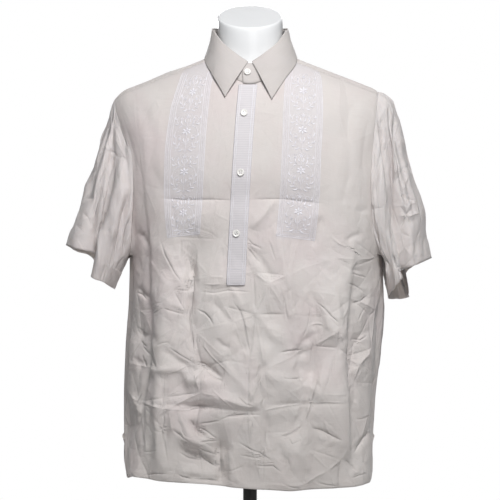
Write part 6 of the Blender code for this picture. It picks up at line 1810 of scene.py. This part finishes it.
# one spray, in millimetres: x to the right of the middle, y up from its foot. Shapes marked True are mirrored to the left too
SPRAY_STEMS = (
    # mirrored, width, points
    (False, 0.75, ((0, 1), (0.4, 12), (-0.4, 22), (0, 30))),
    (False, 0.70, ((0, 46), (0.4, 54), (0, 61))),
    (True, 0.75, ((0.2, 4), (6, 7), (13, 13), (16, 22), (13.5, 30), (9.5, 31), (8, 27.5), (10, 25))),
    (True, 0.65, ((0.2, 14), (4, 18), (8, 19.5), (10.5, 18))),
    (True, 0.75, ((0.4, 46), (6, 49), (13, 52), (16.5, 59), (13.5, 65), (9.5, 64.5), (9, 61))),
    (True, 0.60, ((16, 24), (17.5, 33), (15.5, 42), (11, 45))),
    (True, 0.60, ((3, 61), (7, 66), (3, 70), (0, 67))),
)
SPRAY_LEAVES = (
    # mirrored, width, points
    (True, 3.0, ((4.5, 6.5), (7.5, 3.5), (11.5, 3.0))),
    (True, 2.8, ((9.5, 10), (13.5, 8.5), (17.0, 10))),
    (True, 2.8, ((14.5, 16), (18.0, 17), (19.3, 21))),
    (True, 2.6, ((11.5, 12), (10.0, 15), (10.4, 18))),
    (True, 2.6, ((15.5, 27), (18.7, 30), (18.6, 34.5))),
    (True, 2.4, ((1.0, 17), (3.4, 21.5), (3.2, 26))),
    (True, 2.8, ((7, 50), (9.5, 54), (9.0, 58))),
    (True, 2.8, ((12.5, 51.5), (16.5, 50.0), (19.0, 52.5))),
    (True, 2.6, ((16.5, 59), (19.3, 61), (19.0, 65.5))),
    (True, 2.4, ((1.2, 52), (4.0, 56), (3.6, 60.5))),
    (True, 2.2, ((13.0, 44), (9.6, 47), (6.5, 46.2))),
)
SPRAY_FLOWERS = (
    # x, y, petals, petal length, petal width, heart
    (0.0, 38.0, 6, 7.6, 4.2, 2.8),
    (0.0, 64.0, 5, 3.6, 2.4, 1.6),
)
SPRAY_BUDS = (
    # mirrored, x, y, petals, petal length, petal width, heart
    (True, 10.2, 24.8, 5, 2.9, 1.9, 1.4),
    (True, 9.4, 60.0, 5, 2.6, 1.8, 1.3),
)
SPRAY_KNOTS = (
    # mirrored, x, y, size
    (True, 5.2, 33.0, 1.1), (True, 5.4, 43.0, 1.1), (True, 3.2, 47.5, 1.0), (True, 13.0, 38.0, 1.2), (True, 6.3, 12.5, 1.0),
    (True, 14.2, 4.6, 1.0), (False, 0.0, 48.6, 1.1), (True, 5.6, 23.0, 0.9), (True, 13.2, 56.0, 1.0),
)


def laid(ribbons, band, points, widths, height, domed=True):
    """A thread along points given in metres across a band's middle and below its top."""
    points = np.asarray(points, float)
    x_low, x_high = band_edges(band, BANDS[band]["top"] - points[:, 1])
    x, z = band_place(band, points[:, 0] / ((x_high - x_low) / 2), points[:, 1])
    p, n = on_front.at(x, z)
    ribbons.add(p, n, widths, height, domed=domed)


def embroider(band):
    threads = Ribbons()
    b = BANDS[band]
    length = b["top"] - b["bottom"]
    rows = int(length / 0.0035)
    down = np.linspace(0.0, length, rows)
    x_low, x_high = band_edges(band, b["top"] - down)
    half = (x_high - x_low) / 2
    for side in (-1, 1):
        for inset, width in ((0.0006, 0.0011), (0.0030, 0.0006), (0.0066, 0.0006), (0.0100, 0.0009)):
            laid(threads, band, np.stack([side * (half - inset), down], -1), width, 0.00040)
        for k in range(int(length / 0.0021)):
            d = 0.0008 + k * 0.0021
            h = float(np.interp(d, down, half))
            laid(threads, band, [(side * (h - 0.0036), d), (side * (h - 0.0060), d + 0.0010)], 0.00055, 0.00028, domed=False)
    for lift, width in ((0.0008, 0.0012), (0.0040, 0.0007), (0.0105, 0.0008)):
        across = np.linspace(-1, 1, 30)[:, None] * (half[-1] - (0.0 if lift < 0.005 else 0.0095))
        laid(threads, band, np.concatenate([across, np.full_like(across, length - lift)], 1), width, 0.00040)
    for k in range(int(2 * half[-1] / 0.0021)):
        x = -half[-1] + 0.0008 + k * 0.0021
        laid(threads, band, [(x, length - 0.0014), (x + 0.0010, length - 0.0034)], 0.00055, 0.00028, domed=False)
    count = 4
    for k in range(count):
        foot = 0.004 + (k + 1) * REPEAT
        size = min(1.0, REPEAT / 0.0715)
        room = float(np.interp(foot - REPEAT / 2, down, half)) - FIELD_EDGE
        wide = room / 0.0200

        def at(points, flip):
            q = np.asarray(points, float) * 0.001
            return np.stack([q[:, 0] * wide * (-1 if flip else 1), foot - q[:, 1] * size], -1)

        for mirrored, width, line in SPRAY_STEMS:
            for flip in ((False, True) if mirrored else (False,)):
                laid(threads, band, at(curve_points(line, 4 * len(line)), flip), width * 0.001, 0.00045)
        for mirrored, width, line in SPRAY_LEAVES:
            for flip in ((False, True) if mirrored else (False,)):
                laid(threads, band, at(curve_points(line, 8), flip), lens(8, width * 0.001), 0.00060)
        blooms = [(x, y, n, size_, w, heart) for x, y, n, size_, w, heart in SPRAY_FLOWERS]
        blooms += [(x * f, y, n, size_, w, heart) for _, x, y, n, size_, w, heart in SPRAY_BUDS for f in (1, -1)]
        for x, y, petals, long, fat, heart in blooms:
            for i in range(petals):
                a = math.radians(90 + 360 * i / petals)
                reach_mm = [heart * 0.35 + (long - heart * 0.35) * t for t in np.linspace(0, 1, 7)]
                line = [(x + math.cos(a) * r, y + math.sin(a) * r) for r in reach_mm]
                laid(threads, band, at(line, False), lens(7, fat * 0.001), 0.00062)
            line = [(x, y - heart / 2), (x, y - heart / 5), (x, y + heart / 5), (x, y + heart / 2)]
            laid(threads, band, at(line, False), lens(4, heart * 0.001) + heart * 0.0003, 0.00085)
        for mirrored, x, y, dot in SPRAY_KNOTS:
            for f in ((1, -1) if mirrored else (1,)):
                line = [(x * f, y - dot / 2), (x * f, y - dot / 6), (x * f, y + dot / 6), (x * f, y + dot / 2)]
                laid(threads, band, at(line, False), lens(4, dot * 0.001) + dot * 0.0003, 0.00060, domed=False)
    return threads.make("embroidery_" + band, EMBROIDERY)


made["embroidery_left"] = embroider("left")
made["embroidery_right"] = embroider("right")

edging = Ribbons()
strip_ways = facing(strip, inside=(0, 0.2, 0.8))
for distance, last, width in ((0.0019, False, 0.0012), (0.0052, False, 0.0008), (0.0019, True, 0.0012), (0.0060, True, 0.0012)):
    p, n = beside(strip, strip_ways, distance, last)
    edging.add(p, n, width, 0.00035)
for distance, from_top, width in ((0.0045, True, 0.0010), (0.0285, False, 0.0008), (0.0020, False, 0.0008)):
    p, n = parallel(strip, strip_ways, distance, from_top)
    edging.add(p[1:-1], n[1:-1], width, 0.00035)
made["edging"] = edging.make("placket_embroidery", EMBROIDERY)

# ------------------------------------------------------------------ stitching
sewn = Ribbons()
for grid, ways, distance in ((front, front_out, 0.0095), (back, back_out, 0.0095)):
    p, n = parallel(grid, facing(grid, inside=(0, 0.2 if grid is front else -0.2, 0.6)), distance)
    stitches(sewn, p[3:-3], n[3:-3])
for name, grid in sleeves.items():
    ways = facing(grid, True)
    p, n = parallel(grid, ways, SLEEVE_BAND - 0.0015, from_top=True)
    stitches(sewn, np.vstack([p, p[:1]]), np.vstack([n, n[:1]]))
leaf_ways = facing(leaf_grid, inside=(0, 0, 1.0))
p, n = parallel(leaf_grid, leaf_ways, 0.0050, from_top=True)
stitches(sewn, p[7:-7], n[7:-7])
for last in (False, True):
    p, n = beside(leaf_grid, leaf_ways, 0.0045, last)
    stitches(sewn, p[4:-5], n[4:-5])
stand_ways = facing(stand_grid, inside=(0, 0, 1.02))
p, n = parallel(stand_grid, stand_ways, 0.0025)
stitches(sewn, p, n)
yoke_ways = facing(yoke_outer, inside=(0, 0, 0.8))
p, n = parallel(yoke_outer, yoke_ways, 0.0022, from_top=True)
stitches(sewn, p, n)
p, n = parallel(yoke_outer, yoke_ways, 0.0022)
off_neck = np.abs(p[:, 0]) > NECK_X + 0.004
for part_of in (off_neck & (p[:, 0] < 0), off_neck & (p[:, 0] > 0)):
    stitches(sewn, p[part_of], n[part_of])
for last in (False, True):
    low_part = front[:, 0, 2] < VENT_TOP_Z - 0.004
    for grid in (front, back):
        ways = facing(grid, inside=(0, 0.2 if grid is front else -0.2, 0.6))
        count = int((grid[:, 0, 2] < VENT_TOP_Z - 0.004).sum())
        p, n = beside(grid, ways, 0.0080, last, rows=slice(6, count))
        stitches(sewn, p, n)
made["sewn"] = sewn.make("sewing", SEWING)

# ------------------------------------------------------------------ buttons
BUTTON_RING = (
    # radius, height
    (0.0000, 0.0000), (0.80, 0.0000), (0.97, 0.00035), (1.00, 0.0009), (1.00, 0.0015), (0.95, 0.0021), (0.86, 0.0024),
    (0.76, 0.0022), (0.66, 0.0017), (0.50, 0.00155), (0.25, 0.00150), (0.0000, 0.00150),
)
on_stand = Surface(stand_grid, stand_ways)
on_strip = Surface(strip, strip_ways)
button_thread = Ribbons()
for index, (name, bx, bz, on) in enumerate(BUTTONS):
    surface = on_strip if on == "placket" else on_stand
    p, n = surface.at(np.array([bx - 0.003, bx + 0.003, bx, bx, bx]), np.array([bz, bz, bz - 0.003, bz + 0.003, bz]))
    up_way = Vector(n.mean(0)).normalized()
    high = max(float((q - p[-1]) @ np.array(up_way)) for q in p)
    foot = Vector(p[-1]) + up_way * (high + 0.0005)
    profile = [(max(r, 0.0) * BUTTON_R, h) for r, h in BUTTON_RING]
    bm = bmesh.new()
    columns, rings_of = 56, []
    for r, h in profile:
        if r == 0:
            rings_of.append([bm.verts.new((0, 0, h))])
        else:
            rings_of.append([bm.verts.new((r * math.cos(2 * math.pi * c / columns), r * math.sin(2 * math.pi * c / columns), h)) for c in range(columns)])
    for a, b in zip(rings_of, rings_of[1:]):
        for c in range(columns):
            c2 = (c + 1) % columns
            corner = [a[c % len(a)], a[c2 % len(a)], b[c2 % len(b)], b[c % len(b)]]
            unique = list(dict.fromkeys(corner))
            bm.faces.new(unique)
    bmesh.ops.recalc_face_normals(bm, faces=bm.faces)
    mesh = bpy.data.meshes.new(name)
    bm.to_mesh(mesh)
    bm.free()
    cutters = bmesh.new()
    for hx, hy in ((1, 1), (1, -1), (-1, 1), (-1, -1)):
        bmesh.ops.create_cone(cutters, cap_ends=True, segments=18, radius1=0.00095, radius2=0.00095, depth=0.008,
                              matrix=Matrix.Translation((hx * 0.00155, hy * 0.00155, 0.001)))
    cut_mesh = bpy.data.meshes.new("holes")
    cutters.to_mesh(cut_mesh)
    cutters.free()
    disc, cutter = bpy.data.objects.new("disc", mesh), bpy.data.objects.new("holes", cut_mesh)
    for o in (disc, cutter):
        bpy.context.scene.collection.objects.link(o)
    cut = disc.modifiers.new("holes", "BOOLEAN")
    cut.operation, cut.solver, cut.object = "DIFFERENCE", "EXACT", cutter
    bpy.context.view_layer.update()
    result = bpy.data.meshes.new_from_object(disc.evaluated_get(bpy.context.evaluated_depsgraph_get()))
    bpy.data.objects.remove(disc, do_unlink=True)
    bpy.data.objects.remove(cutter, do_unlink=True)
    turn_by = Matrix.Rotation(math.radians((12, -20, 8, 31)[index]), 4, "Z")
    place = Matrix.Translation(foot) @ up_way.to_track_quat("Z", "Y").to_matrix().to_4x4() @ turn_by
    result.transform(place)
    result.name = "pearl_" + name
    result.materials.clear()
    result.materials.append(BUTTON_MAT)
    result.polygons.foreach_set("use_smooth", [True] * len(result.polygons))
    disc = bpy.data.objects.new("pearl_" + name, result)
    bpy.context.scene.collection.objects.link(disc)
    disc.modifiers.new("edges", "EDGE_SPLIT").split_angle = math.radians(38)
    made["pearl_" + name] = disc
    for a, b in (((-1, -1), (1, 1)), ((-1, 1), (1, -1))):
        t = np.linspace(0, 1, 9)
        for shift in (-0.00022, 0.00022):
            line = []
            for k in t:
                x, y = (a[0] + (b[0] - a[0]) * k) * 0.00155, (a[1] + (b[1] - a[1]) * k) * 0.00155
                h = 0.0011 + 0.0009 * math.sin(math.pi * k) ** 0.5
                line.append(place @ Vector((x + shift * a[1] * b[0] * -1, y + shift, h)))
            button_thread.add([v[:] for v in line], [tuple(up_way)] * len(line), 0.00055, 0.00025, domed=False)
made["button_thread"] = button_thread.make("button_thread", EMBROIDERY)

# ------------------------------------------------------------------ dress form
sections = form_rings(120 if FINE else 60)
middle_of_top = sections[-1].mean(0)
sections = np.concatenate([sections] + [(middle_of_top + (sections[-1] - middle_of_top) * k)[None] for k in (0.985, 0.9, 0.6, 0.25, 0.03)])
rows_of, columns_of, _ = sections.shape
form_faces = []
for r in range(rows_of - 1):
    for c in range(columns_of):
        c2 = (c + 1) % columns_of
        form_faces.append((r * columns_of + c, r * columns_of + c2, (r + 1) * columns_of + c2, (r + 1) * columns_of + c))
form_faces.append(tuple(range(columns_of))[::-1])
form_faces.append(tuple(range((rows_of - 1) * columns_of, rows_of * columns_of)))
made["form"] = mesh_object("form_body", sections.reshape(-1, 3), form_faces, FORM_MAT)
bm = bmesh.new()
bm.from_mesh(made["form"].data)
bmesh.ops.recalc_face_normals(bm, faces=bm.faces)
bm.to_mesh(made["form"].data)
bm.free()
made["form"].modifiers.new("edges", "EDGE_SPLIT").split_angle = math.radians(50)

for node in ("form_pole", "form_flange", "form_collar", "form_base"):
    obj = frame["nodes"][node]
    for slot in obj.material_slots:
        slot.material = METAL_MAT

# ------------------------------------------------------------------ what each piece stands for
STANDS_FOR = {
    # piece: (CAD nodes, the record's material slot)
    "front": (("shirt_front",), "cloth"),
    "back": (("shirt_back",), "cloth"),
    "yoke": (("yoke",), "cloth"),
    "sleeve_left": (("sleeve_left",), "cloth"),
    "sleeve_right": (("sleeve_right",), "cloth"),
    "stand": (("collar_stand",), "collar_cloth"),
    "leaf": (("collar_leaf",), "collar_cloth"),
    "placket": (("placket",), "placket_cloth"),
    "embroidery_left": ((), "placket_cloth"),
    "embroidery_right": ((), "placket_cloth"),
    "edging": ((), "placket_cloth"),
    "sewn": ((), "cloth"),
    "button_thread": ((), "placket_cloth"),
    "form": (("form_torso",), "form"),
    **{"pearl_button_%d" % k: (("button_%d" % k,), "button") for k in (1, 2, 3, 4)},
}
for key, (nodes, slot_name) in STANDS_FOR.items():
    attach(made[key], "root")
    if nodes:
        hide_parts(*nodes)

# ------------------------------------------------------------------ floor, light and camera
FLOOR_R = 1.28
bm = bmesh.new()
bmesh.ops.create_circle(bm, cap_ends=True, radius=FLOOR_R, segments=128)
mesh = bpy.data.meshes.new("floor")
bm.to_mesh(mesh)
bm.free()
floor = bpy.data.objects.new("floor", mesh)
bpy.context.scene.collection.objects.link(floor)
floor.location = (0, 0, -0.0002)
s = Shade("floor", 0.7)
s.shader.inputs["Base Color"].default_value = (0.86, 0.86, 0.85, 1)
coords = s.node("ShaderNodeTexCoord")
size = s.node("ShaderNodeVectorMath", operation="LENGTH")
s.link(coords.outputs["Object"], size.inputs[0])
share = s.fit(size.outputs["Value"], 0.35, FLOOR_R - 0.03, 0.0, 1.0)
white = s.node("ShaderNodeEmission")
white.inputs["Color"].default_value = (1, 1, 1, 1)
seen_by = s.node("ShaderNodeLightPath").outputs["Is Camera Ray"]
s.link(s.fit(seen_by, 0.0, 1.0, 0.35, 1.0), white.inputs["Strength"])
join = s.node("ShaderNodeMixShader")
s.link(share, join.inputs[0])
s.link(s.shader.outputs[0], join.inputs[1])
s.link(white.outputs[0], join.inputs[2])
s.link(join.outputs[0], s.tree.nodes["Material Output"].inputs["Surface"])
mesh.materials.append(s.mat)

WORLD_LIGHT = 0.15
world = bpy.data.worlds.new("studio")
bpy.context.scene.world = world
world.use_nodes = True
nodes, links = world.node_tree.nodes, world.node_tree.links
nodes.clear()
out = nodes.new("ShaderNodeOutputWorld")
seen, lit, mix, path = (nodes.new(kind) for kind in ("ShaderNodeBackground", "ShaderNodeBackground", "ShaderNodeMixShader", "ShaderNodeLightPath"))
seen.inputs[0].default_value, seen.inputs[1].default_value = (1, 1, 1, 1), 1.0
lit.inputs[0].default_value, lit.inputs[1].default_value = (0.93, 0.96, 1.0, 1), WORLD_LIGHT
links.new(path.outputs["Is Camera Ray"], mix.inputs[0])
links.new(lit.outputs[0], mix.inputs[1])
links.new(seen.outputs[0], mix.inputs[2])
links.new(mix.outputs[0], out.inputs["Surface"])

LIGHTS = (
    # name, place, aim, width, height, power
    ("key", (0.25, -1.58, 2.07), (0.0, 0.0, 0.82), 0.8, 0.7, 45.0),
    ("front fill", (0.5, -2.8, 1.2), (0.0, 0.0, 0.95), 1.2, 0.8, 3.0),
    ("back fill", (-0.7, 2.3, 1.1), (0.0, 0.0, 0.65), 1.6, 1.2, 24.0),
    ("rear", (0.3, 2.0, 2.0), (0.0, 0.0, 0.8), 1.6, 1.2, 15.0),
)
for name, place, aim, width, height, power in LIGHTS:
    data = bpy.data.lights.new(name, "AREA")
    data.shape, data.size, data.size_y, data.energy = "RECTANGLE", width, height, power
    lamp = bpy.data.objects.new(name, data)
    lamp.location = place
    lamp.rotation_euler = (Vector(aim) - Vector(place)).to_track_quat("-Z", "Y").to_euler()
    bpy.context.scene.collection.objects.link(lamp)

camera = bpy.data.objects.new("camera", bpy.data.cameras.new("camera"))
camera.data.sensor_width = 36.0
camera.data.lens = 118.9
camera.data.clip_start, camera.data.clip_end = 0.1, 50.0
camera.location = (0.0, -3.0, 0.655)
camera.rotation_euler = (math.radians(90), 0, 0)
bpy.context.scene.collection.objects.link(camera)
bpy.context.scene.camera = camera
bpy.context.scene.view_settings.view_transform = "Standard"
